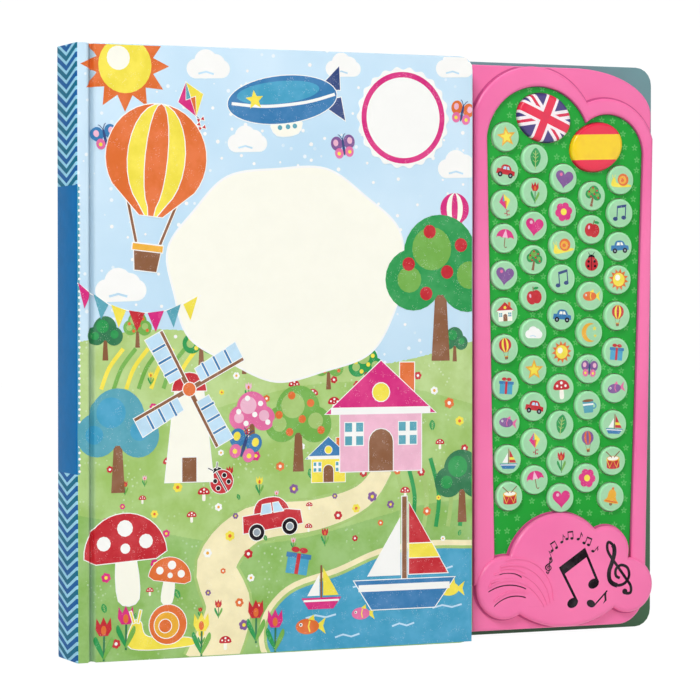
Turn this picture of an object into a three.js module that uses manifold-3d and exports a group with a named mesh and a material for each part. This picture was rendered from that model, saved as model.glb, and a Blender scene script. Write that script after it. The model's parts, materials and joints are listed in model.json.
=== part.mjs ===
// Sound book: a hard-cover book whose wider back cover carries a sound panel beside the pages.
// Millimetres. Inside the book group, x runs from the spine's outer face, y from the front cover's
// outer face towards the back cover, and z up from the bottom edge that the book stands on.
import * as THREE from "three";
import { mergeVertices } from "three/addons/utils/BufferGeometryUtils.js";
import Module from "manifold-3d";

// Book
const BOOK_HEIGHT = 290;
const BOOK_THICKNESS = 29;
const BOARD = 3;
const CLEARANCE = 0.3;
const FRONT_COVER_WIDTH = 206;
const COVER_CORNER = 6.5;
const BACK_CORNER = 9;
const SPINE_BOARD = 2.6;
const SPINE_EDGE_ROUND = 1.2;
const SHOULDER_WIDTH = 5.7;
const GROOVE_WIDTH = 3.3;

// Page block
const PAGE_INSET = 2.5;
const LEAF_COUNT = 11;
const LEAF_GAP = 0.5;
const LEAF_GAP_DEPTH = 1.2;
const PAGE_CORNER = 5;

// Buttons
const BUTTON_RADIUS = 7.3;
const BUTTON_SIDES = 16;
const BUTTON_PROUD = 2.2;
const BUTTON_TRAVEL = 1;
const BUTTON_LIP = 0.7;
const LIP_THICKNESS = 1.6;
const TOP_ROW_GAP = 0.9;
const TOP_ROW_COUNT = 3;
const ROW_GAP = 2.45;
const COLUMN_GAP = 0.4;
const COLUMN_SQUEEZE = 1.95;
const FLAG_RADIUS = 12.1;
const FLAG_STRETCH = 1.24;
const FLAG_SIDES = 24;
const FLAG_PROUD = 2.8;

// Sound panel
const PANEL_GAP = 3.5;
const PANEL_RIM = 3;
const PANEL_SIDE_RIM = 10.2;
const PANEL_DEPTH_BELOW_FACE = 8;
const PANEL_WALL = 2;
const PANEL_TAPER = 4;
const PANEL_ARCH_WIDTH = 44;
const PANEL_ARCH_HEIGHT = 23;
const PANEL_FOOT_ROUND = 15;
const FRAME_HEIGHT = 2.5;
const FRAME_LEFT_WIDTH = 7.8;
const FRAME_RIGHT_WIDTH = 5.8;
const FIELD_LEFT_MARGIN = 3;
const FIELD_RIGHT_MARGIN = 5.8;
const FIELD_TAPER_LEFT = 4.5;
const FIELD_TAPER_RIGHT = 7;
const LARGE_LOBE_RADIUS = 36;
const SMALL_LOBE_RADIUS = 28.5;
const SMALL_LOBE_DROP = 15;
const FIELD_LARGE_LOBE_RADIUS = 29.5;
const FIELD_SMALL_LOBE_RADIUS = 20;

// Cloud over the loudspeaker
const CLOUD_HEIGHT = 4.2;
const CLOUD_TOP = 58;
const SLOT_WIDTH = 1;

// Inside the panel
const BOARD_THICKNESS = 1.6;
const BOARD_INSET = 1;
const REST_WIDTH = 4;
const REST_LENGTH = 12;
const SPEAKER_RADIUS = 18;
const SPEAKER_OPENING = 15;
const SPEAKER_DEPTH = 11.5;
const MAGNET_RADIUS = 10;
const CELL_RADIUS = 5.8;
const CELL_THICKNESS = 5.4;
const HOLDER_FLOOR = 2.5;
const DOOR_WIDTH = 31;
const DOOR_HEIGHT = 27;
const DOOR_LEDGE = 2;
const DOOR_CORNER = 3;
const SCREW_RADIUS = 2.4;
const SCREW_RECESS = 0.5;

// Sizes that follow
const PANEL_FRONT = PANEL_DEPTH_BELOW_FACE;
const FLOOR_BACK = PANEL_FRONT + PANEL_WALL;
const BACK_FACE = BOOK_THICKNESS - BOARD;
const PANEL_BACK = BACK_FACE - CLEARANCE;
const LIP_FRONT = FLOOR_BACK + CLEARANCE;
const LIP_BACK = LIP_FRONT + LIP_THICKNESS;
const CIRCUIT_FRONT = LIP_BACK + BUTTON_TRAVEL + CLEARANCE;
const CIRCUIT_BACK = CIRCUIT_FRONT + BOARD_THICKNESS;
const COVER_START = SHOULDER_WIDTH + GROOVE_WIDTH;
const PANEL_LEFT = FRONT_COVER_WIDTH + PANEL_GAP;
const LIP_DIAMETER = 2 * (BUTTON_RADIUS + BUTTON_LIP);
const COLUMN_COUNT = 5;
const COLUMN_PITCH = LIP_DIAMETER + COLUMN_GAP;
const FIELD_LEFT = PANEL_LEFT + FRAME_LEFT_WIDTH;
const FIRST_COLUMN = FIELD_LEFT + FIELD_LEFT_MARGIN + BUTTON_RADIUS;
const LAST_COLUMN = FIRST_COLUMN + (COLUMN_COUNT - 1) * COLUMN_PITCH;
const FIELD_RIGHT = LAST_COLUMN + BUTTON_RADIUS + FIELD_RIGHT_MARGIN;
const PANEL_RIGHT = FIELD_RIGHT + FRAME_RIGHT_WIDTH;
const BACK_COVER_WIDTH = PANEL_RIGHT + PANEL_SIDE_RIM;
const PANEL_TOP = BOOK_HEIGHT - PANEL_RIM;
const PANEL_BOTTOM = PANEL_RIM + 1;
const CLOUD_LEFT = PANEL_LEFT;
const CLOUD_CREST = PANEL_BOTTOM + CLOUD_TOP;
const FIELD_BOTTOM = PANEL_BOTTOM + CLOUD_TOP / 2;
const LOWEST_BUTTON = CLOUD_CREST + 4;
const SPEAKER_X = CLOUD_LEFT + SPEAKER_RADIUS + 5.5;
const SPEAKER_Z = PANEL_BOTTOM + SPEAKER_RADIUS + 5;
const DOOR_X = (PANEL_LEFT + PANEL_RIGHT) / 2;
const DOOR_Z = CLOUD_CREST + DOOR_HEIGHT + 25;

// The two round lobes at the top of the frame and of the printed field inside it.
const FRAME_LOBES = [
  { x: PANEL_LEFT + 33.5, z: PANEL_TOP - LARGE_LOBE_RADIUS, r: LARGE_LOBE_RADIUS },
  {
    x: PANEL_RIGHT - 27.2,
    z: PANEL_TOP - SMALL_LOBE_DROP - SMALL_LOBE_RADIUS,
    r: SMALL_LOBE_RADIUS,
  },
];
const FIELD_LOBES = [
  {
    x: FIELD_LEFT + FIELD_LARGE_LOBE_RADIUS - 0.3,
    z: PANEL_TOP - 10 - FIELD_LARGE_LOBE_RADIUS,
    r: FIELD_LARGE_LOBE_RADIUS,
  },
  {
    x: FIELD_RIGHT - FIELD_SMALL_LOBE_RADIUS,
    z: PANEL_TOP - SMALL_LOBE_DROP - 8 - FIELD_SMALL_LOBE_RADIUS,
    r: FIELD_SMALL_LOBE_RADIUS,
  },
];

// Columns of small buttons: how far each starts below the panel's top, and how far its middle bows aside.
const COLUMNS = [
  { drop: 35.7, bow: -1.8 },
  { drop: 46.3, bow: -1 },
  { drop: 55.9, bow: -0.6 },
  { drop: 64.6, bow: 0 },
  { drop: 56.2, bow: 0.3 },
];

// The large buttons sit in the two lobes.
const FLAGS = [
  { name: "flag_button_left", x: FIELD_LOBES[0].x + 2.8, z: FIELD_LOBES[0].z + 13.8, tilt: -15 },
  { name: "flag_button_right", x: FIELD_LOBES[1].x - 7, z: FIELD_LOBES[1].z + 3.2, tilt: 20 },
];

const PAPER = (color) => new THREE.MeshStandardMaterial({ color, roughness: 0.45, metalness: 0 });
const PLASTIC = (color) => new THREE.MeshStandardMaterial({ color, roughness: 0.35, metalness: 0 });
const COVER_BLUE = PAPER(0xc5e7fd);
const SPINE_BLUE = PAPER(0x0a6e96);
const BACK_GREEN = PAPER(0x376946);
const PAGE_WHITE = PAPER(0xf3efe4);
const PINK = PLASTIC(0xff6eaf);
const MINT = PLASTIC(0xa5e1af);
const FLAG_RED = PLASTIC(0xf01c48);
const FLAG_YELLOW = PLASTIC(0xffd700);
const CIRCUIT_GREEN = PLASTIC(0x1d5c3a);
const SPEAKER_BLACK = PLASTIC(0x26262a);

const wasm = await Module();
wasm.setup();

// A closed geometry as a manifold solid, and back again.
function solid(geometry) {
  const bare = geometry.clone();
  bare.deleteAttribute("normal");
  bare.deleteAttribute("uv");
  const merged = mergeVertices(bare, 1e-4);
  return new wasm.Manifold(
    new wasm.Mesh({
      numProp: 3,
      vertProperties: merged.attributes.position.array,
      triVerts: new Uint32Array(merged.index.array),
    }),
  );
}

function geometryOf(made) {
  const mesh = made.getMesh();
  const geometry = new THREE.BufferGeometry();
  const corners = new Float32Array(mesh.vertProperties);
  geometry.setAttribute("position", new THREE.BufferAttribute(corners, 3));
  geometry.setIndex(new THREE.BufferAttribute(new Uint32Array(mesh.triVerts), 1));
  geometry.computeVertexNormals();
  return geometry;
}

// Points along an arc about a centre, angles in radians, anticlockwise when to is the larger.
function arc(x, z, r, from, to, steps, rz = r) {
  return Array.from({ length: steps + 1 }, (_, i) => {
    const a = from + ((to - from) * i) / steps;
    return new THREE.Vector2(x + r * Math.cos(a), z + rz * Math.sin(a));
  });
}

// A regular polygon that follows a circle, for holes and posts.
function ring(x, z, r, sides) {
  return arc(x, z, r, 0, 2 * Math.PI * (1 - 1 / sides), sides - 1);
}

// Points of an arc between two points that bulges to the left of the way from a to b.
function bulge(a, b, rise, steps) {
  const half = a.distanceTo(b) / 2;
  const r = (half * half + rise * rise) / (2 * rise);
  const along = b.clone().sub(a).normalize();
  const left = new THREE.Vector2(-along.y, along.x);
  const centre = a.clone().add(b).multiplyScalar(0.5).addScaledVector(left, rise - r);
  const start = Math.atan2(a.y - centre.y, a.x - centre.x);
  const sweep = 2 * Math.atan2(half, r - rise);
  return arc(centre.x, centre.y, Math.abs(r), start, start - sweep, steps);
}

// A plate whose outline lies in x and z, between a front and a back depth in y.
function plate(points, front, back, holes = []) {
  const shape = new THREE.Shape(points);
  shape.holes = holes.map((hole) => new THREE.Path(hole));
  const geometry = new THREE.ExtrudeGeometry(shape, { depth: back - front, bevelEnabled: false });
  return geometry.rotateX(Math.PI / 2).translate(0, back, 0);
}

function box(x0, x1, y0, y1, z0, z1) {
  const geometry = new THREE.BoxGeometry(x1 - x0, y1 - y0, z1 - z0);
  return geometry.translate((x0 + x1) / 2, (y0 + y1) / 2, (z0 + z1) / 2);
}

// A rectangle with its own radius at each corner: lower left, lower right, upper right, upper left.
function rounded(x0, x1, z0, z1, radii, steps = 5) {
  const [ll, lr, ur, ul] = radii;
  const turn = (x, z, r, from) =>
    r > 0 ? arc(x, z, r, from, from + Math.PI / 2, steps) : [new THREE.Vector2(x, z)];
  return [
    ...turn(x0 + ll, z0 + ll, ll, Math.PI),
    ...turn(x1 - lr, z0 + lr, lr, 1.5 * Math.PI),
    ...turn(x1 - ur, z1 - ur, ur, 0),
    ...turn(x0 + ul, z1 - ul, ul, Math.PI / 2),
  ];
}

function frontCover() {
  const outline = rounded(COVER_START, FRONT_COVER_WIDTH, 0, BOOK_HEIGHT, [
    0,
    COVER_CORNER,
    COVER_CORNER,
    0,
  ]);
  return plate(outline, 0, BOARD);
}

// The stepped window of the battery door: a wide rebate outside, a narrower opening inside.
function backCover() {
  const outline = rounded(COVER_START, BACK_COVER_WIDTH, 0, BOOK_HEIGHT, [0, BACK_CORNER, BACK_CORNER, 0]);
  const step = BACK_FACE + BOARD / 2;
  const inner = solid(plate(outline, BACK_FACE, step, [doorOutline(DOOR_LEDGE)]));
  const outer = solid(plate(outline, step, BOOK_THICKNESS, [doorOutline(0)]));
  return geometryOf(inner.add(outer));
}

function doorOutline(inset) {
  const w = DOOR_WIDTH / 2 - inset;
  const h = DOOR_HEIGHT / 2 - inset;
  const r = Math.max(DOOR_CORNER - inset, 0.5);
  return rounded(DOOR_X - w, DOOR_X + w, DOOR_Z - h, DOOR_Z + h, [r, r, r, r], 3);
}

// The door seats on the window's ledge; its captive screw stands at the lower end.
function batteryDoor() {
  const step = BACK_FACE + BOARD / 2;
  const lid = solid(plate(doorOutline(CLEARANCE), step + CLEARANCE, BOOK_THICKNESS));
  const plug = solid(plate(doorOutline(DOOR_LEDGE + 2 * CLEARANCE), BACK_FACE, step + CLEARANCE));
  const screwZ = DOOR_Z - DOOR_HEIGHT / 2 + DOOR_LEDGE + SCREW_RADIUS + 2;
  const recess = plate(
    ring(DOOR_X, screwZ, SCREW_RADIUS + 0.8, 12),
    BOOK_THICKNESS - SCREW_RECESS,
    BOOK_THICKNESS + 1,
  );
  const head = plate(
    ring(DOOR_X, screwZ, SCREW_RADIUS, 12),
    BOOK_THICKNESS - 2 * SCREW_RECESS,
    BOOK_THICKNESS - SCREW_RECESS / 5,
  );
  return geometryOf(lid.add(plug).subtract(solid(recess)).add(solid(head)));
}

// Spine board and the two shoulder strips up to the grooves, wrapped as one channel.
function spine() {
  const e = SPINE_EDGE_ROUND;
  const section = new THREE.Shape([
    ...arc(e, e, e, Math.PI, 1.5 * Math.PI, 3),
    new THREE.Vector2(SHOULDER_WIDTH, 0),
    new THREE.Vector2(SHOULDER_WIDTH, BOARD),
    new THREE.Vector2(SPINE_BOARD, BOARD),
    new THREE.Vector2(SPINE_BOARD, BACK_FACE),
    new THREE.Vector2(SHOULDER_WIDTH, BACK_FACE),
    new THREE.Vector2(SHOULDER_WIDTH, BOOK_THICKNESS),
    ...arc(e, BOOK_THICKNESS - e, e, 0.5 * Math.PI, Math.PI, 3),
  ]);
  return new THREE.ExtrudeGeometry(section, { depth: BOOK_HEIGHT, bevelEnabled: false });
}

// The leaves, joined by a core that leaves a groove between them on the three open edges.
function pageBlock() {
  const left = SPINE_BOARD + CLEARANCE;
  const right = FRONT_COVER_WIDTH - PAGE_INSET;
  const front = BOARD + CLEARANCE;
  const back = BACK_FACE - CLEARANCE;
  const outline = (inset) =>
    rounded(left, right - inset, PAGE_INSET + inset, BOOK_HEIGHT - PAGE_INSET - inset, [
      0,
      PAGE_CORNER,
      PAGE_CORNER,
      0,
    ]);
  const leaf = (back - front - (LEAF_COUNT - 1) * LEAF_GAP) / LEAF_COUNT;
  let block = solid(plate(outline(LEAF_GAP_DEPTH), front, back));
  for (let i = 0; i < LEAF_COUNT; i++) {
    const start = front + i * (leaf + LEAF_GAP);
    block = block.add(solid(plate(outline(0), start, start + leaf)));
  }
  return geometryOf(block);
}

// The panel's outline: square at the pages' side, an arch at the top right and a round foot.
function panelOutline(inset, bottom = PANEL_BOTTOM) {
  const left = PANEL_LEFT + inset;
  const low = bottom + inset;
  const top = PANEL_TOP - inset;
  const right = PANEL_RIGHT - inset;
  const footRight = right - PANEL_TAPER;
  const foot = Math.max(PANEL_FOOT_ROUND - inset, 1);
  return [
    new THREE.Vector2(left, low),
    ...arc(footRight - foot, low + foot, foot, 1.5 * Math.PI, 2 * Math.PI, 5),
    ...arc(
      right - PANEL_ARCH_WIDTH + inset,
      top - PANEL_ARCH_HEIGHT + inset,
      PANEL_ARCH_WIDTH - inset,
      0,
      Math.PI / 2,
      9,
      PANEL_ARCH_HEIGHT - inset,
    ),
    new THREE.Vector2(left, top),
  ];
}

// Where two lobes cross above their centres.
function crotch(a, b) {
  const gap = Math.hypot(b.x - a.x, b.z - a.z);
  const along = (a.r * a.r - b.r * b.r + gap * gap) / (2 * gap);
  const up = Math.sqrt(a.r * a.r - along * along);
  const ux = (b.x - a.x) / gap;
  const uz = (b.z - a.z) / gap;
  return { x: a.x + along * ux - up * uz, z: a.z + along * uz + up * ux };
}

// Two lobes on straight sides that draw together towards the bottom.
function lobedOutline(lobes, left, right, taperLeft, taperRight, bottom) {
  const [large, small] = lobes;
  const notch = crotch(large, small);
  const start = Math.acos(Math.min((right - small.x) / small.r, 1));
  const end = Math.PI - Math.acos(Math.min((large.x - left) / large.r, 1));
  const angle = (lobe) => Math.atan2(notch.z - lobe.z, notch.x - lobe.x);
  return [
    new THREE.Vector2(left + taperLeft, bottom),
    new THREE.Vector2(right - taperRight, bottom),
    ...arc(small.x, small.z, small.r, start, angle(small), 9),
    ...arc(large.x, large.z, large.r, angle(large), end, 14).slice(1),
  ];
}

// The cloud: five arcs between the notches, drawn from the lower left round to the left lobe.
function cloudOutline() {
  const at = (x, z) => new THREE.Vector2(CLOUD_LEFT + x, PANEL_BOTTOM + z);
  const lowerLeft = at(25.7, 8);
  const lowerRight = at(79.5, 9);
  const right = at(87.8, 34.4);
  const upperRight = at(68.9, 49.3);
  const upperLeft = at(19.9, 37.6);
  return [
    ...bulge(upperLeft, upperRight, CLOUD_TOP - 43.5, 10).slice(1),
    ...bulge(upperRight, right, 8, 6).slice(1),
    ...bulge(right, lowerRight, 18.5, 9).slice(1),
    ...bulge(lowerRight, lowerLeft, 8, 8).slice(1),
    ...bulge(lowerLeft, upperLeft, 21.5, 11).slice(1),
  ].reverse();
}

// An outline moved inwards by a distance, point by point along the mean of its two edge normals.
function moveIn(points, distance) {
  const count = points.length;
  return points.map((p, i) => {
    const before = points[(i + count - 1) % count];
    const after = points[(i + 1) % count];
    const a = new THREE.Vector2(-(p.y - before.y), p.x - before.x).normalize();
    const b = new THREE.Vector2(-(after.y - p.y), after.x - p.x).normalize();
    const mean = a.add(b).normalize();
    return p.clone().addScaledVector(mean, distance);
  });
}

// Sound slots over the loudspeaker, as arcs through the cloud's wall.
function slotOutlines() {
  const at = (x, z) => new THREE.Vector2(CLOUD_LEFT + x, PANEL_BOTTOM + z);
  const arcs = [
    [at(13.6, 28.9), at(25.9, 27), 1.4],
    [at(7.3, 20.4), at(28.3, 21.1), 2.6],
    [at(10.4, 12.9), at(28.2, 16.7), 2.6],
  ];
  return arcs.map(([a, b, rise]) => {
    const upper = bulge(a, b, rise, 5);
    const lower = upper.map((p) => new THREE.Vector2(p.x, p.y - SLOT_WIDTH));
    return [...lower, ...upper.reverse()];
  });
}

// Places of the small buttons, column by column from the top, as far down as the cloud leaves room.
function buttonPlaces() {
  const span = PANEL_TOP - LOWEST_BUTTON;
  return COLUMNS.flatMap(({ drop, bow }, column) => {
    const places = [];
    const topX = FIRST_COLUMN + column * COLUMN_PITCH;
    const bottomX = topX + 2.4 - column * COLUMN_SQUEEZE;
    for (let z = PANEL_TOP - drop, row = 0; z >= LOWEST_BUTTON; row++) {
      const t = (PANEL_TOP - drop - z) / (span - drop);
      places.push({ x: topX + (bottomX - topX) * t + bow * 4 * t * (1 - t), z });
      z -= LIP_DIAMETER + (row < TOP_ROW_COUNT ? TOP_ROW_GAP : ROW_GAP);
    }
    return places;
  });
}

function flagHole({ x, z, tilt }) {
  const r = FLAG_RADIUS + CLEARANCE;
  const pivot = new THREE.Vector2(x, z);
  return arc(x, z, r * FLAG_STRETCH, 0, 2 * Math.PI * (1 - 1 / FLAG_SIDES), FLAG_SIDES - 1, r).map(
    (p) => p.rotateAround(pivot, THREE.MathUtils.degToRad(tilt)),
  );
}

// Floor, side walls, raised frame and cloud, moulded in one.
function soundHousing(places) {
  const holes = [
    ...places.map(({ x, z }) => ring(x, z, BUTTON_RADIUS + CLEARANCE, BUTTON_SIDES)),
    ...FLAGS.map(flagHole),
    ring(SPEAKER_X, SPEAKER_Z, SPEAKER_OPENING, BUTTON_SIDES),
  ];
  const floor = solid(plate(panelOutline(0), PANEL_FRONT, FLOOR_BACK, holes));
  const walls = plate(panelOutline(0), FLOOR_BACK, PANEL_BACK, [panelOutline(PANEL_WALL)]);
  const frameOuter = lobedOutline(
    FRAME_LOBES,
    PANEL_LEFT,
    PANEL_RIGHT,
    0,
    PANEL_TAPER,
    FIELD_BOTTOM - FRAME_RIGHT_WIDTH,
  );
  const field = lobedOutline(
    FIELD_LOBES,
    FIELD_LEFT,
    FIELD_RIGHT,
    FIELD_TAPER_LEFT,
    FIELD_TAPER_RIGHT,
    FIELD_BOTTOM,
  );
  const frame = plate(frameOuter, PANEL_FRONT - FRAME_HEIGHT, PANEL_FRONT, [field]);
  const cloudFront = PANEL_FRONT - CLOUD_HEIGHT;
  const cloud = solid(plate(cloudOutline(), cloudFront, FLOOR_BACK));
  const hollow = solid(plate(moveIn(cloudOutline(), PANEL_WALL), cloudFront + PANEL_WALL, PANEL_FRONT));
  const mouth = plate(
    ring(SPEAKER_X, SPEAKER_Z, SPEAKER_OPENING, BUTTON_SIDES),
    PANEL_FRONT - PANEL_WALL / 2,
    FLOOR_BACK + PANEL_WALL,
  );
  let made = floor.add(solid(walls)).add(solid(frame)).add(cloud).subtract(hollow);
  made = made.subtract(solid(mouth));
  for (const slot of slotOutlines()) {
    made = made.subtract(solid(plate(slot, cloudFront - 1, cloudFront + PANEL_WALL + 1)));
  }
  for (const rest of circuitRests()) {
    made = made.add(solid(rest));
  }
  return geometryOf(made);
}

// Blocks on the two side walls that the circuit board rests on.
function circuitRests() {
  const heights = [CLOUD_CREST + 20, (CLOUD_CREST + PANEL_TOP) / 2, PANEL_TOP - PANEL_ARCH_HEIGHT - 20];
  return heights.flatMap((z) => {
    const t = (z - PANEL_BOTTOM) / (PANEL_TOP - PANEL_ARCH_HEIGHT - PANEL_BOTTOM);
    const right = PANEL_RIGHT - PANEL_TAPER * (1 - t) - PANEL_WALL / 2;
    const left = PANEL_LEFT + PANEL_WALL / 2;
    const y1 = CIRCUIT_FRONT - CLEARANCE;
    const y0 = FLOOR_BACK - PANEL_WALL / 2;
    return [
      box(left, left + REST_WIDTH, y0, y1, z, z + REST_LENGTH),
      box(right - REST_WIDTH, right, y0, y1, z, z + REST_LENGTH),
    ];
  });
}

// The board with its cell holder and three button cells, which face the battery door.
function circuitBoard() {
  const low = CLOUD_CREST + 2;
  const board = solid(plate(panelOutline(PANEL_WALL + BOARD_INSET, low), CIRCUIT_FRONT, CIRCUIT_BACK));
  const w = DOOR_WIDTH / 2 - DOOR_LEDGE;
  const h = DOOR_HEIGHT / 2 - DOOR_LEDGE;
  const holderBack = CIRCUIT_BACK + HOLDER_FLOOR;
  const holder = plate(
    rounded(DOOR_X - w, DOOR_X + w, DOOR_Z - h, DOOR_Z + h, [2, 2, 2, 2], 3),
    CIRCUIT_BACK - BOARD_THICKNESS / 2,
    holderBack,
  );
  let made = board.add(solid(holder));
  const places = [
    [-CELL_RADIUS - 0.7, CELL_RADIUS - 1.5],
    [CELL_RADIUS + 0.7, CELL_RADIUS - 1.5],
    [0, -CELL_RADIUS + 0.2],
  ];
  for (const [dx, dz] of places) {
    const cell = ring(DOOR_X + dx, DOOR_Z + dz, CELL_RADIUS, 16);
    made = made.add(solid(plate(cell, holderBack - 1, holderBack + CELL_THICKNESS - 1)));
  }
  return geometryOf(made);
}

function speaker() {
  const front = FLOOR_BACK + CLEARANCE;
  const profile = [
    [0, front + 3.5],
    [SPEAKER_RADIUS * 0.35, front + 4.5],
    [SPEAKER_RADIUS - 3, front + 0.8],
    [SPEAKER_RADIUS - 2, front],
    [SPEAKER_RADIUS, front],
    [SPEAKER_RADIUS, front + 2],
    [SPEAKER_RADIUS - 3, front + 2.6],
    [MAGNET_RADIUS + 1, front + 7],
    [MAGNET_RADIUS, front + 7],
    [MAGNET_RADIUS, front + SPEAKER_DEPTH],
    [0, front + SPEAKER_DEPTH],
  ].map(([r, y]) => new THREE.Vector2(r, y));
  return new THREE.LatheGeometry(profile, 24);
}

// A button cap with the lip that keeps it behind the floor, its axis along y and its face at the front.
function buttonCap(radius, proud, sides) {
  const profile = [
    [0, PANEL_FRONT - proud],
    [radius, PANEL_FRONT - proud],
    [radius, LIP_FRONT],
    [radius + BUTTON_LIP, LIP_FRONT],
    [radius + BUTTON_LIP, LIP_BACK],
    [0, LIP_BACK],
  ].map(([r, y]) => new THREE.Vector2(r, y));
  return new THREE.LatheGeometry(profile, sides);
}

function mesh(name, geometry, material) {
  const made = new THREE.Mesh(geometry, material);
  made.name = name;
  return made;
}

const places = buttonPlaces();
const book = new THREE.Group();
book.position.set(-BACK_COVER_WIDTH / 2, -BOOK_THICKNESS / 2, 0);
book.add(
  mesh("front_cover", frontCover(), COVER_BLUE),
  mesh("back_cover", backCover(), BACK_GREEN),
  mesh("spine", spine(), SPINE_BLUE),
  mesh("page_block", pageBlock(), PAGE_WHITE),
  mesh("sound_housing", soundHousing(places), PINK),
  mesh("circuit_board", circuitBoard(), CIRCUIT_GREEN),
  mesh("battery_door", batteryDoor(), PINK),
);

const loudspeaker = mesh("speaker", speaker(), SPEAKER_BLACK);
loudspeaker.position.set(SPEAKER_X, 0, SPEAKER_Z);
book.add(loudspeaker);

places.forEach(({ x, z }, i) => {
  const name = "button_" + String(i + 1).padStart(2, "0");
  const button = mesh(name, buttonCap(BUTTON_RADIUS, BUTTON_PROUD, BUTTON_SIDES), MINT);
  button.position.set(x, 0, z);
  book.add(button);
});

FLAGS.forEach(({ name, x, z, tilt }, i) => {
  const shape = buttonCap(FLAG_RADIUS, FLAG_PROUD, FLAG_SIDES).scale(FLAG_STRETCH, 1, 1);
  const button = mesh(name, shape, i ? FLAG_YELLOW : FLAG_RED);
  button.rotation.y = -THREE.MathUtils.degToRad(tilt);
  button.position.set(x, 0, z);
  book.add(button);
});

export default book;
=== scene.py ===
"""Sound book: the looks of a hard-cover book whose wider back cover carries a sound panel.

Lengths are millimetres in the book's own axes until a mesh is made: x from the spine's outer face,
depth from the front cover's outer face towards the back cover, and z up from the bottom edge.
"""

import json
import logging
import math
import random
from dataclasses import dataclass, field
from enum import Enum
from typing import Any, Callable, Iterable, Sequence

import bmesh
import bpy
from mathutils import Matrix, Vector
from mathutils.geometry import tessellate_polygon
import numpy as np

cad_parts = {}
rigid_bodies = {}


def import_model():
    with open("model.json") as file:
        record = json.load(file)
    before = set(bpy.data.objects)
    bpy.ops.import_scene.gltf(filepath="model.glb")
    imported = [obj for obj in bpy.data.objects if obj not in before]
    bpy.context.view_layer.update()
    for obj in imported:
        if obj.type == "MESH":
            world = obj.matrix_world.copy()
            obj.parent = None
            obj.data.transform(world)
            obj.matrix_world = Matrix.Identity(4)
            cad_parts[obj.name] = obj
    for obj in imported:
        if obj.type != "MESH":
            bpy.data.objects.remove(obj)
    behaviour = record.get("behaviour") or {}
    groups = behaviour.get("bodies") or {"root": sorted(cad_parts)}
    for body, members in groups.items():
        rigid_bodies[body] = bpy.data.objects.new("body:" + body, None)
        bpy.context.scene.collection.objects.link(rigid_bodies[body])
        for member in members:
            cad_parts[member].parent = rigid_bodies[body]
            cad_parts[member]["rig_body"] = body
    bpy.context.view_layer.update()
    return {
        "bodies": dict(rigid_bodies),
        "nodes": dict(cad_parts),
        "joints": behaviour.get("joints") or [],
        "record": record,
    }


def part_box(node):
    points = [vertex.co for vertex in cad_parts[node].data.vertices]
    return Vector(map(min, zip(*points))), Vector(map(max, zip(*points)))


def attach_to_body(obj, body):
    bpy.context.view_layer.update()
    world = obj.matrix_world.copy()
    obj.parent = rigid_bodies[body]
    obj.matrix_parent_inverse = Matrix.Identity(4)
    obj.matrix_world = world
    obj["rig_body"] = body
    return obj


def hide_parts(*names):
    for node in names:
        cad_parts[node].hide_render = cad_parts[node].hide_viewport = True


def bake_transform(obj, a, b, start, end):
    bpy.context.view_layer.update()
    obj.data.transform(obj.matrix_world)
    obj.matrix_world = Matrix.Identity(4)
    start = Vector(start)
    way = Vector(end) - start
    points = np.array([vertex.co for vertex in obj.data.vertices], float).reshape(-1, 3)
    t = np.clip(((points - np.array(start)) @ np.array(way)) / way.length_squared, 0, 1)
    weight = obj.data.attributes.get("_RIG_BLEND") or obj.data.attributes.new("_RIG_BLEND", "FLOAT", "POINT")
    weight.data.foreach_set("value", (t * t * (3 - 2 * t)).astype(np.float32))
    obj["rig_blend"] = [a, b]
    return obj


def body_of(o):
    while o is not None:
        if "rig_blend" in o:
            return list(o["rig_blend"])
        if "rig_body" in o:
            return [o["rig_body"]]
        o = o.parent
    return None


LOG = logging.getLogger("sound_book")
MM = 0.001
SHARP = math.radians(35)
SMOOTH = math.radians(34)

Point = tuple[float, float]
Colour = tuple[float, float, float]
Material = bpy.types.Material


def hex_colour(text: str) -> Colour:
    """Turns a hex colour as seen on screen into linear values.

    Args:
        text: Six hex digits.

    Returns:
        Linear red, green and blue.
    """
    parts = [int(text[i : i + 2], 16) / 255 for i in (0, 2, 4)]
    r, g, b = [v / 12.92 if v <= 0.04045 else ((v + 0.055) / 1.055) ** 2.4 for v in parts]
    return r, g, b


class Ink(Enum):
    """Print colours of the covers and the button faces."""

    WHITE = "FDFDFA"
    CREAM = "FFFEF0"
    SAND = "FFF3C5"
    SKY = "C5E7FD"
    AQUA = "55AABE"
    POND = "3EA6CD"
    BLUE = "2A7DB8"
    NAVY = "20407F"
    GREEN = "109E4B"
    LEAF = "76B748"
    LIME = "ACCF76"
    FOREST = "1E7A4A"
    YELLOW = "FFEC46"
    GOLD = "F8B62B"
    ORANGE = "EC7126"
    RED = "CD0C23"
    MAGENTA = "E21782"
    PINK = "F9BED7"
    ROSE = "EE6FA8"
    PURPLE = "84559B"
    BROWN = "8F5A34"
    GREY = "9AA7B4"
    MINT = "A5E1AF"
    NOTE = "120412"


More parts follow.
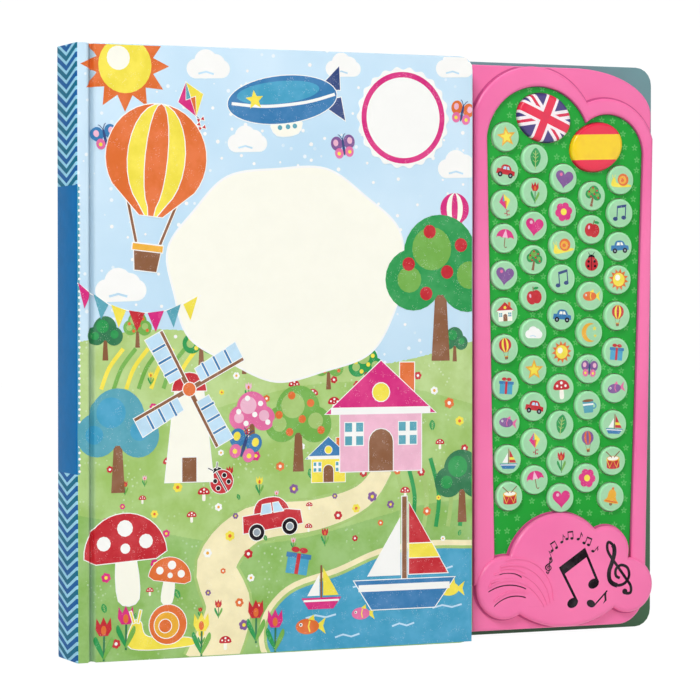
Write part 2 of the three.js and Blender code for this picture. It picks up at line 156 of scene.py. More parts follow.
class Wire:
    """A socket whose arithmetic adds Math nodes to its tree."""

    def __init__(self, tree: "Finish", socket: bpy.types.NodeSocket) -> None:
        """Keeps the tree and the output socket."""
        self.tree = tree
        self.socket = socket

    def math(self, operation: str, *others: "Wire | float") -> "Wire":
        """Adds one Math node that starts with this value."""
        inputs = dict(enumerate((self, *others)))
        return self.tree.node("ShaderNodeMath", {"operation": operation}, inputs)

    def __add__(self, other: "Wire | float") -> "Wire":
        """self + other."""
        return self.math("ADD", other)

    __radd__ = __add__

    def __sub__(self, other: "Wire | float") -> "Wire":
        """self - other."""
        return self.math("SUBTRACT", other)

    def __rsub__(self, other: float) -> "Wire":
        """other - self."""
        return self.tree.node("ShaderNodeMath", {"operation": "SUBTRACT"}, {0: other, 1: self})

    def __mul__(self, other: "Wire | float") -> "Wire":
        """self * other."""
        return self.math("MULTIPLY", other)

    __rmul__ = __mul__

    def __truediv__(self, other: "Wire | float") -> "Wire":
        """self / other."""
        return self.math("DIVIDE", other)

    def below(self, other: "Wire | float") -> "Wire":
        """1 where this value is less than the other."""
        return self.math("LESS_THAN", other)

    def above(self, other: "Wire | float") -> "Wire":
        """1 where this value is greater than the other."""
        return self.math("GREATER_THAN", other)

    def size(self) -> "Wire":
        """The value without its sign."""
        return self.math("ABSOLUTE")

    def sine(self) -> "Wire":
        """The sine of the value in radians."""
        return self.math("SINE")

    def part(self) -> "Wire":
        """What is left after the last whole number."""
        return self.math("FRACT")

    def ramp(self, low: float, high: float) -> "Wire":
        """A smooth step from 0 at low to 1 at high."""
        settings = {"interpolation_type": "SMOOTHSTEP"}
        return self.tree.node("ShaderNodeMapRange", settings, {0: self, 1: low, 2: high, 3: 0.0, 4: 1.0})


class Finish:
    """A material's node tree with one method that makes every node."""

    def __init__(self, name: str) -> None:
        """Makes an empty material of that name."""
        self.material = bpy.data.materials.new(name)
        self.material.use_nodes = True
        self.nodes = self.material.node_tree.nodes
        self.links = self.material.node_tree.links
        self.nodes.clear()

    def node(
        self,
        kind: str,
        settings: dict[str, Any] | None = None,
        inputs: dict[Any, Any] | None = None,
        output: int | str = 0,
    ) -> Wire:
        """Makes a node, sets its settings first and then its sockets.

        Args:
            kind: The node's type.
            settings: Attributes to set before the sockets.
            inputs: Values or wires by socket index or name.
            output: The output that the returned wire reads.

        Returns:
            The wire from that output.
        """
        made = self.nodes.new(kind)
        for key, value in (settings or {}).items():
            setattr(made, key, value)
        for key, value in (inputs or {}).items():
            if isinstance(value, Wire):
                self.links.new(value.socket, made.inputs[key])
            elif isinstance(value, tuple) and len(value) == 3 and made.inputs[key].type == "RGBA":
                made.inputs[key].default_value = (*value, 1.0)
            else:
                made.inputs[key].default_value = value
        return Wire(self, made.outputs[output])

    def place(self) -> Wire:
        """The surface point in the object's own axes."""
        return self.node("ShaderNodeTexCoord", output="Object")

    def axes(self) -> tuple[Wire, Wire, Wire]:
        """The surface point's three coordinates in metres."""
        place = self.place()
        return tuple(self.node("ShaderNodeSeparateXYZ", inputs={0: place}, output=i) for i in range(3))

    def noise(self, scale: float, detail: float = 3.0, rough: float = 0.5) -> Wire:
        """A cloudy pattern with scale repeats to the metre."""
        inputs = {"Vector": self.place(), "Scale": scale, "Detail": detail, "Roughness": rough}
        return self.node("ShaderNodeTexNoise", inputs=inputs, output=0)

    def cells(self, scale: float, spread: float = 1.0) -> Wire:
        """The distance to the nearest of scattered points."""
        inputs = {"Vector": self.place(), "Scale": scale, "Randomness": spread}
        return self.node("ShaderNodeTexVoronoi", inputs=inputs, output="Distance")

    def mix(self, factor: Wire | float, a: Wire | Colour, b: Wire | Colour) -> Wire:
        """Blends two colours."""
        settings = {"data_type": "RGBA", "clamp_factor": True}
        return self.node("ShaderNodeMix", settings, {0: factor, 6: a, 7: b}, output=2)

    def bump(self, height: Wire, strength: float, distance: float) -> Wire:
        """A surface normal from a height."""
        inputs = {"Strength": strength, "Distance": distance, "Height": height}
        return self.node("ShaderNodeBump", inputs=inputs)

    def surface(
        self, colour: Wire | Colour, rough: Wire | float, normal: Wire | None = None, **extra: Any
    ) -> None:
        """Ends the tree in one principled shader."""
        inputs: dict[str, Any] = {"Base Color": colour, "Roughness": rough}
        inputs.update({key.replace("_", " "): value for key, value in extra.items()})
        if normal is not None:
            inputs["Normal"] = normal
        shader = self.node("ShaderNodeBsdfPrincipled", inputs=inputs)
        self.node_output(shader)

    def satin(self, colour: Wire, rough: float = 0.34, grain: float = 1400, strength: float = 0.12,
              depth: float = 0.00003, **extra: Any) -> None:
        """Ends the tree as a coated print, with a fine grain and an uneven gloss."""
        normal = self.bump(self.noise(grain, 2), strength, depth)
        self.surface(colour, rough + 0.1 * self.noise(300), normal, **extra)

    def node_output(self, shader: Wire) -> None:
        """Links the last shader to the material's output."""
        made = self.nodes.new("ShaderNodeOutputMaterial")
        self.links.new(shader.socket, made.inputs["Surface"])


def darker(colour: Colour, share: float) -> Colour:
    """The colour with its light taken down by a share."""
    r, g, b = colour
    return r * (1 - share), g * (1 - share), b * (1 - share)


def lighter(colour: Colour, share: float) -> Colour:
    """The colour moved towards white by a share."""
    r, g, b = colour
    return r + (1 - r) * share, g + (1 - g) * share, b + (1 - b) * share


@dataclass(frozen=True)
class Look:
    """What every finish shares: a name and the making of its material."""

    name: str

    def build(self) -> Material:
        """Makes the material."""
        f = Finish(self.name)
        self.paint(f)
        return f.material

    def paint(self, f: Finish) -> None:
        """Adds the finish's nodes."""
        raise NotImplementedError


@dataclass(frozen=True)
class Gouache(Look):
    """Printed opaque paint: brush mottling, chalky speckle and a satin laminate."""

    colour: Colour
    mottle: float = 0.10
    speckle: float = 0.5
    shine: float = 0.4

    def paint(self, f: Finish) -> None:
        """Adds the nodes."""
        wash = f.noise(90, 4, 0.6).ramp(0.35, 0.7)
        paint = f.mix(wash, darker(self.colour, self.mottle), lighter(self.colour, self.mottle * 0.35))
        chalk = f.cells(1500).below(0.26) * f.noise(260, 2).ramp(0.52, 0.6)
        tone = f.mix(chalk * self.speckle, paint, lighter(self.colour, 0.55))
        f.satin(tone, Specular_IOR_Level=self.shine)


@dataclass(frozen=True)
class Moulding(Look):
    """Moulded plastic with a fine eggshell texture and slight flow marks."""

    colour: Colour
    rough: float = 0.32
    depth: float = 0.25

    def paint(self, f: Finish) -> None:
        """Adds the nodes."""
        flow = f.noise(14, 3, 0.55)
        tone = f.mix(flow.ramp(0.3, 0.75), darker(self.colour, 0.07), lighter(self.colour, 0.05))
        eggshell = f.noise(2200, 2, 0.6)
        rough = self.rough + 0.12 * f.noise(120, 3)
        f.surface(tone, rough, f.bump(eggshell, self.depth, 0.00002), Coat_Weight=0.1)


@dataclass(frozen=True)
class Steel(Look):
    """Plated steel with fine turning marks."""

    colour: Colour

    def paint(self, f: Finish) -> None:
        """Adds the nodes."""
        wear = f.noise(500, 4, 0.6)
        tone = f.mix(wear.ramp(0.3, 0.8), darker(self.colour, 0.3), self.colour)
        f.surface(tone, 0.25 + 0.2 * wear, f.bump(wear, 0.15, 0.00002), Metallic=1.0)


@dataclass(frozen=True)
class Landscape(Look):
    """The cover's painted ground: speckled sky over three rolling hills, with painted shade along a crease
    where one is given.
    """

    sky: Colour
    hills: tuple[tuple[Colour, float, float, float, float], ...]
    crease_shadow: float | None = None

    def paint(self, f: Finish) -> None:
        """Adds the nodes."""
        x, _, z = f.axes()
        cloudy = f.noise(11, 4, 0.55).ramp(0.3, 0.75)
        tone = f.mix(cloudy, darker(self.sky, 0.07), lighter(self.sky, 0.25))
        drops = f.cells(170).below(0.16) * f.noise(40, 2).ramp(0.45, 0.6)
        tone = f.mix(drops * 0.75, tone, lighter(self.sky, 0.85))
        for colour, level, rise, length, phase in self.hills:
            edge = level * MM + rise * MM * (x * (1 / (length * MM)) + phase).sine()
            brushed = edge + 0.0012 * (f.noise(700, 2) - 0.5)
            wash = f.noise(60, 4, 0.6).ramp(0.3, 0.7)
            paint = f.mix(wash, darker(colour, 0.12), lighter(colour, 0.12))
            blades = f.cells(420).below(0.22) * f.noise(70, 2).ramp(0.5, 0.62)
            paint = f.mix(blades * 0.6, paint, lighter(colour, 0.45))
            tone = f.mix(z.below(brushed), tone, paint)
        # Painted shade: the ground darkens within 2.6 mm of the crease, standing in for the shade in the
        # hinge groove.
        if self.crease_shadow is not None:
            near = 1 - (x - self.crease_shadow).size().ramp(0.0, 2.6 * MM)
            tone = f.mix(near * 0.45, tone, darker(self.sky, 0.65))
        f.satin(tone, Coat_Weight=0.15)


@dataclass(frozen=True)
class Chevrons(Look):
    """Spine paper: zigzag stripes with a plain title band between two heights."""

    middle: float
    band: tuple[float, float]
    pitch: float = 4.4
    slope: float = 0.4

    def paint(self, f: Finish) -> None:
        """Adds the nodes."""
        x, y, z = f.axes()
        climb = z - self.slope * (y - self.middle).size() + x * self.slope
        light = (climb / (self.pitch * MM)).part().below(0.4)
        warm = (climb / (2 * self.pitch * MM)).part().below(0.5)
        deep = f.mix(warm, hex_colour("04718F"), hex_colour("0A62A6"))
        tone = f.mix(light, deep, hex_colour("9FDCF5"))
        low, high = self.band
        inside = z.above(low * MM) * z.below(high * MM)
        tone = f.mix(inside, tone, hex_colour("0072B4"))
        wash = f.noise(120, 3).ramp(0.3, 0.75)
        tone = f.mix(wash * 0.12, tone, hex_colour("043A5C"))
        f.satin(tone, 0.55, Specular_IOR_Level=0.15)


@dataclass(frozen=True)
class FlowerField(Look):
    """The green printed label with its scatter of pale five-petalled flowers."""

    low: Colour
    high: Colour
    flower: Colour
    flowers_per_metre: float = 150.0

    def paint(self, f: Finish) -> None:
        """Adds the nodes."""
        x, _, z = f.axes()
        place = f.node("ShaderNodeCombineXYZ", inputs={0: x, 1: z})
        scaled = {"Vector": place, "Scale": self.flowers_per_metre, "Randomness": 0.45}
        centre = f.node("ShaderNodeTexVoronoi", {"voronoi_dimensions": "2D"}, scaled, output="Position")
        away = f.node("ShaderNodeVectorMath", {"operation": "SUBTRACT"}, {0: place, 1: centre})
        dx = f.node("ShaderNodeSeparateXYZ", inputs={0: away}, output=0)
        dz = f.node("ShaderNodeSeparateXYZ", inputs={0: away}, output=1)
        far = f.node("ShaderNodeVectorMath", {"operation": "LENGTH"}, {0: away}, output="Value")
        angle = dz.math("ARCTAN2", dx)
        petals = 0.00125 + 0.0005 * (angle * 5.0).sine()
        bloom = far.below(petals) * far.above(0.0004)
        shade = f.noise(22, 3).ramp(0.3, 0.7)
        tone = f.mix(shade, self.low, self.high)
        tone = f.mix(bloom * 0.4, tone, self.flower)
        grain = f.noise(1500, 2)
        rough = 0.42 + 0.1 * f.noise(260)
        f.surface(tone, rough, f.bump(grain, 0.1, 0.00003), Specular_IOR_Level=0.3)


@dataclass(frozen=True)
class CrossedFlag(Look):
    """A cap printed with an upright cross over two diagonals, turned about its centre."""

    centre: Point
    tilt: float

    def paint(self, f: Finish) -> None:
        """Adds the nodes."""
        across, up = turned_axes(f, self.centre, self.tilt)
        slope = 0.62
        reach = math.hypot(1, slope)
        rising = ((up - slope * across) / reach).size()
        falling = ((up + slope * across) / reach).size()
        diagonal = rising.math("MINIMUM", falling)
        upright = across.size().math("MINIMUM", up.size())
        tone = f.mix(diagonal.below(2.4 * MM), hex_colour("46377F"), hex_colour("FFF4F8"))
        tone = f.mix(diagonal.below(0.75 * MM), tone, hex_colour("E31B4C"))
        tone = f.mix(upright.below(3.6 * MM), tone, hex_colour("FFF4F8"))
        tone = f.mix(upright.below(2.2 * MM), tone, hex_colour("F01C4A"))
        tone = f.mix(f.noise(200, 3).ramp(0.4, 0.8) * 0.12, tone, hex_colour("2B2350"))
        f.satin(tone, 0.3, 1500, 0.1, 0.00002, Coat_Weight=0.2)


@dataclass(frozen=True)
class BandedFlag(Look):
    """A cap printed with three level bands, the middle one twice as tall."""

    centre: Point
    tilt: float
    outer: Colour
    inner: Colour
    half: float = 6.4

    def paint(self, f: Finish) -> None:
        """Adds the nodes."""
        _, up = turned_axes(f, self.centre, self.tilt)
        tone = f.mix(up.size().below(self.half * MM), self.outer, self.inner)
        tone = f.mix(f.noise(200, 3).ramp(0.4, 0.8) * 0.1, tone, darker(self.outer, 0.4))
        f.satin(tone, 0.3, 1500, 0.1, 0.00002, Coat_Weight=0.2)


def turned_axes(f: Finish, centre: Point, tilt: float) -> tuple[Wire, Wire]:
    """The distances across and up from a centre, in axes turned by a tilt.

    Args:
        f: The material being made.
        centre: The centre in metres, in the part's x and z.
        tilt: Degrees, anticlockwise from the front.

    Returns:
        The wires of the two distances in metres.
    """
    x, _, z = f.axes()
    cx, cz = centre
    c = math.cos(math.radians(tilt))
    s = math.sin(math.radians(tilt))
    dx = x - cx
    dz = z - cz
    return c * dx + s * dz, c * dz - s * dx


@dataclass(frozen=True)
class PagePaper(Look):
    """White page stock: fine fibres, and slightly darker cut edges between leaves."""

    colour: Colour

    def paint(self, f: Finish) -> None:
        """Adds the nodes."""
        fibres = f.noise(900, 4, 0.65)
        _, y, _ = f.axes()
        layers = (y * (2 * math.pi / (0.45 * MM))).sine() * 0.5 + 0.5
        tone = f.mix(fibres.ramp(0.3, 0.75), darker(self.colour, 0.08), self.colour)
        tone = f.mix(layers * 0.14, tone, darker(self.colour, 0.35))
        f.surface(tone, 0.75, f.bump(fibres, 0.25, 0.00005))


@dataclass(frozen=True)
class Endpaper(Look):
    """Coloured inner paper with a gradient from one height to another."""

    low: Colour
    high: Colour
    top: float

    def paint(self, f: Finish) -> None:
        """Adds the nodes."""
        _, _, z = f.axes()
        tone = f.mix((z / (self.top * MM)).ramp(0.0, 1.0), self.low, self.high)
        tone = f.mix(f.noise(50, 4).ramp(0.35, 0.75) * 0.1, tone, darker(self.low, 0.25))
        dots = f.cells(240, 0.4).below(0.14)
        tone = f.mix(dots * 0.12, tone, lighter(self.high, 0.5))
        f.surface(tone, 0.42, f.bump(f.noise(1300, 2), 0.15, 0.00003), Coat_Weight=0.1)


def arc(x: float, z: float, r: float, start: float, end: float, steps: int,
        rz: float | None = None) -> list[Point]:
    """Points along an arc.

    Args:
        x: Centre across.
        z: Centre height.
        r: Radius.
        start: First angle in radians.
        end: Last angle.
        steps: Number of chords.
        rz: Vertical radius where the arc is an ellipse's.

    Returns:
        The points from start to end.
    """
    tall = r if rz is None else rz
    turns = [start + (end - start) * i / steps for i in range(steps + 1)]
    return [(x + r * math.cos(a), z + tall * math.sin(a)) for a in turns]


def circle(x: float, z: float, r: float, sides: int = 32, rz: float | None = None) -> list[Point]:
    """A closed ring of points."""
    return arc(x, z, r, 0, 2 * math.pi * (1 - 1 / sides), sides - 1, rz)


def bulge(a: Point, b: Point, rise: float, steps: int) -> list[Point]:
    """Points of an arc from a to b that bulges to the left of the way.

    Args:
        a: First point.
        b: Last point.
        rise: Height of the arc over its chord.
        steps: Number of chords.

    Returns:
        The points from a to b.
    """
    half = math.dist(a, b) / 2
    r = (half * half + rise * rise) / (2 * rise)
    ux, uz = (b[0] - a[0]) / (2 * half), (b[1] - a[1]) / (2 * half)
    cx = (a[0] + b[0]) / 2 - uz * (rise - r)
    cz = (a[1] + b[1]) / 2 + ux * (rise - r)
    start = math.atan2(a[1] - cz, a[0] - cx)
    sweep = 2 * math.atan2(half, r - rise)
    return arc(cx, cz, abs(r), start, start - sweep, steps)


def moved_in(points: Sequence[Point], distance: float) -> list[Point]:
    """A closed outline, anticlockwise, moved inwards by a distance."""
    made = []
    for i, (px, pz) in enumerate(points):
        bx, bz = points[i - 1]
        ax, az = points[(i + 1) % len(points)]
        n1 = Vector((-(pz - bz), px - bx)).normalized()
        n2 = Vector((-(az - pz), ax - px)).normalized()
        mean = n1 + n2
        reach = max(mean.length / 2, 0.5)
        step = mean.normalized() * (distance / reach)
        made.append((px + step.x, pz + step.y))
    return made


def area(points: Sequence[Point]) -> float:
    """The signed area of a closed outline, above 0 where it runs anticlockwise."""
    pairs = zip(points, [*points[1:], points[0]])
    return sum(ax * bz - bx * az for (ax, az), (bx, bz) in pairs) / 2


def clipped(points: Sequence[Point], limits: tuple[float, float, float, float]) -> list[Point]:
    """The part of an outline within a rectangle.

    Args:
        points: A closed outline.
        limits: Left, right, lower and upper side.

    Returns:
        The outline cut off at each side.
    """
    kept = list(points)
    for axis, limit, sign in ((0, limits[0], 1), (0, limits[1], -1), (1, limits[2], 1), (1, limits[3], -1)):
        if all(sign * (p[axis] - limit) >= 0 for p in kept):
            continue
        made: list[Point] = []
        for i, b in enumerate(kept):
            a = kept[i - 1]
            inside_a, inside_b = sign * (a[axis] - limit) >= 0, sign * (b[axis] - limit) >= 0
            if inside_a != inside_b:
                t = (limit - a[axis]) / (b[axis] - a[axis])
                made.append((a[0] + (b[0] - a[0]) * t, a[1] + (b[1] - a[1]) * t))
            if inside_b:
                made.append(b)
        kept = made
    return kept


def rounded(x0: float, x1: float, z0: float, z1: float, radii: Sequence[float],
            steps: int = 10) -> list[Point]:
    """A rectangle with a radius at each corner, from the lower left anticlockwise."""
    centres = [
        (x0 + radii[0], z0 + radii[0]),
        (x1 - radii[1], z0 + radii[1]),
        (x1 - radii[2], z1 - radii[2]),
        (x0 + radii[3], z1 - radii[3]),
    ]
    made: list[Point] = []
    for i, ((cx, cz), r) in enumerate(zip(centres, radii)):
        start = math.pi * (1 + i / 2)
        made += arc(cx, cz, r, start, start + math.pi / 2, steps) if r > 0 else [(cx, cz)]
    return made


def spline(spans: Iterable[Sequence[Point]], parts: int) -> list[Point]:
    """Points along the middle of each span of four control points."""
    return [
        tuple(
            0.5 * (2 * b + (c - a) * t + (2 * a - 5 * b + 4 * c - d) * t * t + (3 * b - a - 3 * c + d) * t**3)
            for a, b, c, d in zip(*four)
        )
        for four in spans
        for t in (j / parts for j in range(parts))
    ]


def soft(points: Sequence[Point], parts: int = 6) -> list[Point]:
    """A smooth closed curve through points."""
    count = len(points)
    return spline([[points[(i + k) % count] for k in (-1, 0, 1, 2)] for i in range(count)], parts)


def soft_path(points: Sequence[Point], parts: int = 5) -> list[Point]:
    """A smooth open curve through points."""
    padded = [points[0], *points, points[-1]]
    return [*spline(zip(padded, padded[1:], padded[2:], padded[3:]), parts), points[-1]]


def ribbon(points: Sequence[Point], half: Callable[[int], float]) -> list[Point]:
    """The outline of a stroke along points.

    Args:
        points: Its middle line.
        half: Half its width at each point by number.

    Returns:
        The closed outline.
    """
    left, right = [], []
    for i, (px, pz) in enumerate(points):
        bx, bz = points[max(i - 1, 0)]
        ax, az = points[min(i + 1, len(points) - 1)]
        length = math.dist((ax, az), (bx, bz)) or 1.0
        nx, nz = -(az - bz) / length * half(i), (ax - bx) / length * half(i)
        left.append((px + nx, pz + nz))
        right.append((px - nx, pz - nz))
    return [*right, *left[::-1]]


def spun(point: Point, degrees: float) -> Point:
    """A point turned about the origin, anticlockwise."""
    c, s = math.cos(math.radians(degrees)), math.sin(math.radians(degrees))
    return c * point[0] - s * point[1], s * point[0] + c * point[1]


def oval(x: float, z: float, r: float, rz: float, sides: int, degrees: float) -> list[Point]:
    """A closed ellipse about a centre, turned by an angle."""
    return [(x + u, z + v) for u, v in (spun(p, degrees) for p in circle(0, 0, r, sides, rz))]


def placed(name: str, data: bpy.types.ID) -> bpy.types.Object:
    """A new object of some data, linked to the scene."""
    obj = bpy.data.objects.new(name, data)
    bpy.context.scene.collection.objects.link(obj)
    return obj


@dataclass(frozen=True)
class BookAxes:
    """Where the book's own axes lie in the part's frame."""

    left: float
    front: float
    thickness: float
    height: float

    @classmethod
    def of_frame(cls) -> "BookAxes":
        """Reads them from the spine."""
        low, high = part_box("spine")
        return cls(low.x, low.y, (high.y - low.y) / MM, high.z / MM)

    def world(self, x: float, depth: float, z: float) -> tuple[float, float, float]:
        """A point of the book in the part's frame, in metres."""
        return self.left + x * MM, self.front + depth * MM, z * MM

    def local(self, point: Vector) -> tuple[float, float, float]:
        """A point of the part's frame in the book's axes."""
        return (point.x - self.left) / MM, (point.y - self.front) / MM, point.z / MM


@dataclass
class Body:
    """A mesh under construction in the book's axes, with a material on each face."""

    axes: BookAxes
    verts: list[tuple[float, float, float]] = field(default_factory=list)
    faces: list[list[int]] = field(default_factory=list)
    marks: list[Material] = field(default_factory=list)

    def ring(self, points: Iterable[Point], depth: float) -> list[int]:
        """Adds points at one depth and returns their numbers."""
        start = len(self.verts)
        self.verts += [self.axes.world(x, depth, z) for x, z in points]
        return list(range(start, len(self.verts)))

    def face(self, corners: Sequence[int], finish: Material) -> None:
        """Adds one face."""
        self.faces.append(list(corners))
        self.marks.append(finish)

    def bridge(self, a: Sequence[int], b: Sequence[int], finish: Material) -> None:
        """Joins two rings of equal count with a wall."""
        for i in range(len(a)):
            j = (i + 1) % len(a)
            self.face((a[i], b[i], b[j], a[j]), finish)

    def loft(self, rings: Sequence[Sequence[int]], finish: Material, edge: Material | None = None) -> None:
        """Joins rings in a row, the first two bands in another finish where one is given, used for painted
        shade at the foot of a raised form.
        """
        for band, (a, b) in enumerate(zip(rings, rings[1:])):
            self.bridge(a, b, edge if edge and band < 2 else finish)

    def fill(self, rings: Sequence[Sequence[int]], finish: Material) -> None:
        """Closes an outer ring around hole rings with triangles."""
        flat = [[Vector((self.verts[i][0], self.verts[i][2], 0)) for i in ring] for ring in rings]
        numbers = [i for ring in rings for i in ring]
        for tri in tessellate_polygon(flat):
            self.face([numbers[i] for i in tri], finish)

    def prism(self, points: Sequence[Point], near: float, far: float, finish: Material,
              dip: Callable[[float], float] | None = None) -> None:
        """Adds a closed plate of an outline between two depths.

        Args:
            points: The outline.
            near: Depth of its front.
            far: Depth of its back.
            finish: Its material.
            dip: How much deeper it lies by its place across.
        """
        a, b = self.ring(points, near), self.ring(points, far)
        if dip:
            for number in (*a, *b):
                x, y, z = self.verts[number]
                across, _, _ = self.axes.local(Vector((x, y, z)))
                self.verts[number] = (x, y + dip(across) * MM, z)
        self.bridge(a, b, finish)
        self.face(a, finish)
        self.face(b[::-1], finish)

    def turned(self, profile: Sequence[Point], x: float, z: float, sides: int, finish: Material,
               stretch: float = 1.0, tilt: float = 0.0) -> None:
        """Adds a closed turned body about an axis along the depth.

        Args:
            profile: Radius and depth from the front's middle to the back's middle.
            x: Axis across.
            z: Axis height.
            sides: Number of sides.
            finish: Its material.
            stretch: How much wider than tall the section is.
            tilt: Degrees that the long side is turned by.
        """
        rings = [self.ring(oval(x, z, r * stretch, r, sides, tilt), depth) for r, depth in profile]
        self.loft(rings, finish)
        self.face(rings[0], finish)
        self.face(rings[-1][::-1], finish)

    def make(self, name: str, smooth: float | None = 40.0) -> bpy.types.Object:
        """Turns it into an object.

        Args:
            name: The piece's name.
            smooth: Largest angle in degrees between faces that are shaded as one.

        Returns:
            The object, in the part's frame.
        """
        mesh = bpy.data.meshes.new(name)
        mesh.from_pydata(self.verts, [], self.faces)
        finishes = list(dict.fromkeys(self.marks))
        for finish in finishes:
            mesh.materials.append(finish)
        mesh.polygons.foreach_set("material_index", [finishes.index(m) for m in self.marks])
        made = bmesh.new()
        made.from_mesh(mesh)
        bmesh.ops.recalc_face_normals(made, faces=made.faces)
        limit = math.radians(smooth) if smooth else 0
        for edge in made.edges:
            edge.smooth = smooth is not None and edge.is_manifold and edge.calc_face_angle(9.0) < limit
        for each in made.faces:
            each.smooth = True
        made.to_mesh(mesh)
        made.free()
        obj = placed(name, mesh)
        return obj


class Palette:
    """The materials, each made once."""

    def __init__(self, axes: BookAxes) -> None:
        """Makes every finish of the book."""
        pale = (Ink.WHITE, Ink.CREAM)
        self.inks = {
            ink: Gouache("print_" + ink.name.lower(), hex_colour(ink.value),
                         0.02 if ink in pale else 0.1).build()
            for ink in Ink
        }
        self.inks[Ink.NOTE] = Gouache("print_note", hex_colour(Ink.NOTE.value), 0.1, 0.05, 0.1).build()
        hills = (
            (hex_colour("B9D97F"), 147, 9, 33, 5.2),
            (hex_colour("A6CF66"), 118, 12, 44, 2.1),
            (hex_colour("8CC152"), 62, 9, 36, 0.4),
        )
        self.cover = Landscape("cover_print", hex_colour("C5E7FD"), hills).build()
        # The hinge paper's print: the cover's ground with painted shade along the middle of the groove.
        shadow_groove = axes.world(7.35, 0, 0)[0]
        self.cover_shaded_groove = Landscape("cover_print_groove", hex_colour("C5E7FD"), hills, shadow_groove).build()
        middle = axes.front + axes.thickness / 2 * MM
        self.title_band = (88.3, 223.5)
        self.spine = Chevrons("spine_print", middle, self.title_band).build()
        self.panel = Moulding("pink_moulding", hex_colour("FF6EAF")).build()
        # Darker pink as painted shade: the walls of the button holes, the foot of the frame and of the cloud,
        # and the shadow lines round them.
        self.shadow_groove = Moulding("pink_moulding_shadow", hex_colour("D84A92"), 0.5).build()
        # Near-black plum as painted shade inside the sound slots and the screw's cross slot.
        self.slot_shade = Moulding("slot_dark", hex_colour("5E1440"), 0.6).build()
        self.cap = Moulding("mint_cap", hex_colour("A8F0B6"), 0.26).build()
        self.picture_ground = Gouache("picture_ground", hex_colour("A5DDAE"), 0.06, 0.25).build()
        self.field = FlowerField(
            "field_print", hex_colour("04A12A"), hex_colour("1AAA3A"), hex_colour("86DC86")
        ).build()
        # Deep green as a painted shadow line round the label's edge.
        self.label_shadow_line = Gouache("field_shadow_line", hex_colour("14602B")).build()
        self.inner = Endpaper("inner_back_print", hex_colour("336B40"), hex_colour("6C979D"), 290).build()
        self.outer = Endpaper("outer_back_print", hex_colour("3C9FBC"), hex_colour("8CCDE4"), 290).build()
        self.lining = Endpaper("cover_lining", hex_colour("F2F3E6"), hex_colour("E4F3F6"), 290).build()
        self.pages = PagePaper("page_stock", hex_colour("F6F2E8")).build()
        self.board = PagePaper("board_core", hex_colour("D9D6CC")).build()
        self.circuit = Moulding("circuit_mask", hex_colour("1D5C3A"), 0.4).build()
        self.steel = Steel("screw_steel", hex_colour("C9CCD0")).build()
        self.metal_black = Moulding("speaker_basket", hex_colour("26262A"), 0.45).build()


@dataclass(frozen=True)
class Canvas:
    """A stretch of the cover that takes the print, flat or dipping over the groove."""

    name: str
    left: float
    right: float
    count: int = 1
    dip: Callable[[float], float] | None = None
    low: float = 0.5
    high: float = 289.5

    def strips(self) -> list[tuple[float, float, float, float]]:
        """Its upright strips as left, right, lower and upper side."""
        width = (self.right - self.left) / self.count
        return [(self.left + width * i, self.left + width * (i + 1), self.low,
                 self.high) for i in range(self.count)]

    def slope(self, left: float, right: float) -> Callable[[float], float] | None:
        """The depth over one strip, straight from side to side so that its layers stay parallel."""
        if self.dip is None:
            return None
        start, end = self.dip(left), self.dip(right)
        return lambda x: start + (end - start) * (x - left) / (right - left)


@dataclass
class Pen:
    """Draws printed shapes on a surface, each a hair above the one before."""

    body: Body
    inks: dict[Ink, Material]
    x: float
    z: float
    scale: float
    surface: float
    height: list[float]
    tilt: float = 0.0
    step: float = 0.008
    canvas: "Canvas | None" = None
    halo: float = 0.0

    def moved(self, x: float, z: float, scale: float = 1.0, tilt: float = 0.0) -> "Pen":
        """A pen about another centre, on the same growing stack."""
        px, pz = self.point((x, z))
        return Pen(self.body, self.inks, px, pz, self.scale * scale, self.surface, self.height,
                   self.tilt + tilt, self.step, self.canvas, self.halo)

    def point(self, p: Point) -> Point:
        """A drawn point in the book's axes."""
        across, up = spun(p, self.tilt)
        return self.x + self.scale * across, self.z + self.scale * up

    def shape(self, points: Sequence[Point], ink: Ink) -> None:
        """Prints a filled outline."""
        outline = [self.point(p) for p in points]
        if self.halo:
            sign = math.copysign(1.0, area(outline))
            self.plate(moved_in(outline, -self.halo * sign), Ink.WHITE)
        self.plate(outline, ink)

    def plate(self, outline: Sequence[Point], ink: Ink) -> None:
        """Lays one shape, cut into the canvas's strips."""
        self.height[0] += self.step
        near, far = self.surface - self.height[0], self.surface + math.copysign(0.02, self.step)
        if self.canvas is None:
            self.body.prism(outline, near, far, self.inks[ink])
            return
        for strip in self.canvas.strips():
            kept = clipped(outline, strip)
            if len(kept) >= 3:
                self.body.prism(kept, near, far, self.inks[ink], self.canvas.slope(*strip[:2]))

    def disc(self, x: float, z: float, r: float, ink: Ink, rz: float | None = None, sides: int = 28) -> None:
        """Prints a disc or an oval."""
        self.shape(circle(x, z, r, sides, rz), ink)

    def line(self, points: Sequence[Point], width: float, ink: Ink) -> None:
        """Prints a stroke along points."""
        self.shape(ribbon(points, lambda _: width / 2), ink)

    def box(self, x0: float, x1: float, z0: float, z1: float, ink: Ink) -> None:
        """Prints an upright rectangle."""
        self.shape([(x0, z0), (x1, z0), (x1, z1), (x0, z1)], ink)

    def star(self, r: float, inner: float, arms: int, ink: Ink, x: float = 0.0, z: float = 0.0) -> None:
        """Prints a star."""
        points = []
        for i in range(2 * arms):
            a = math.pi / 2 + math.pi * i / arms
            reach = r if i % 2 == 0 else inner
            points.append((x + reach * math.cos(a), z + reach * math.sin(a)))
        self.shape(points, ink)


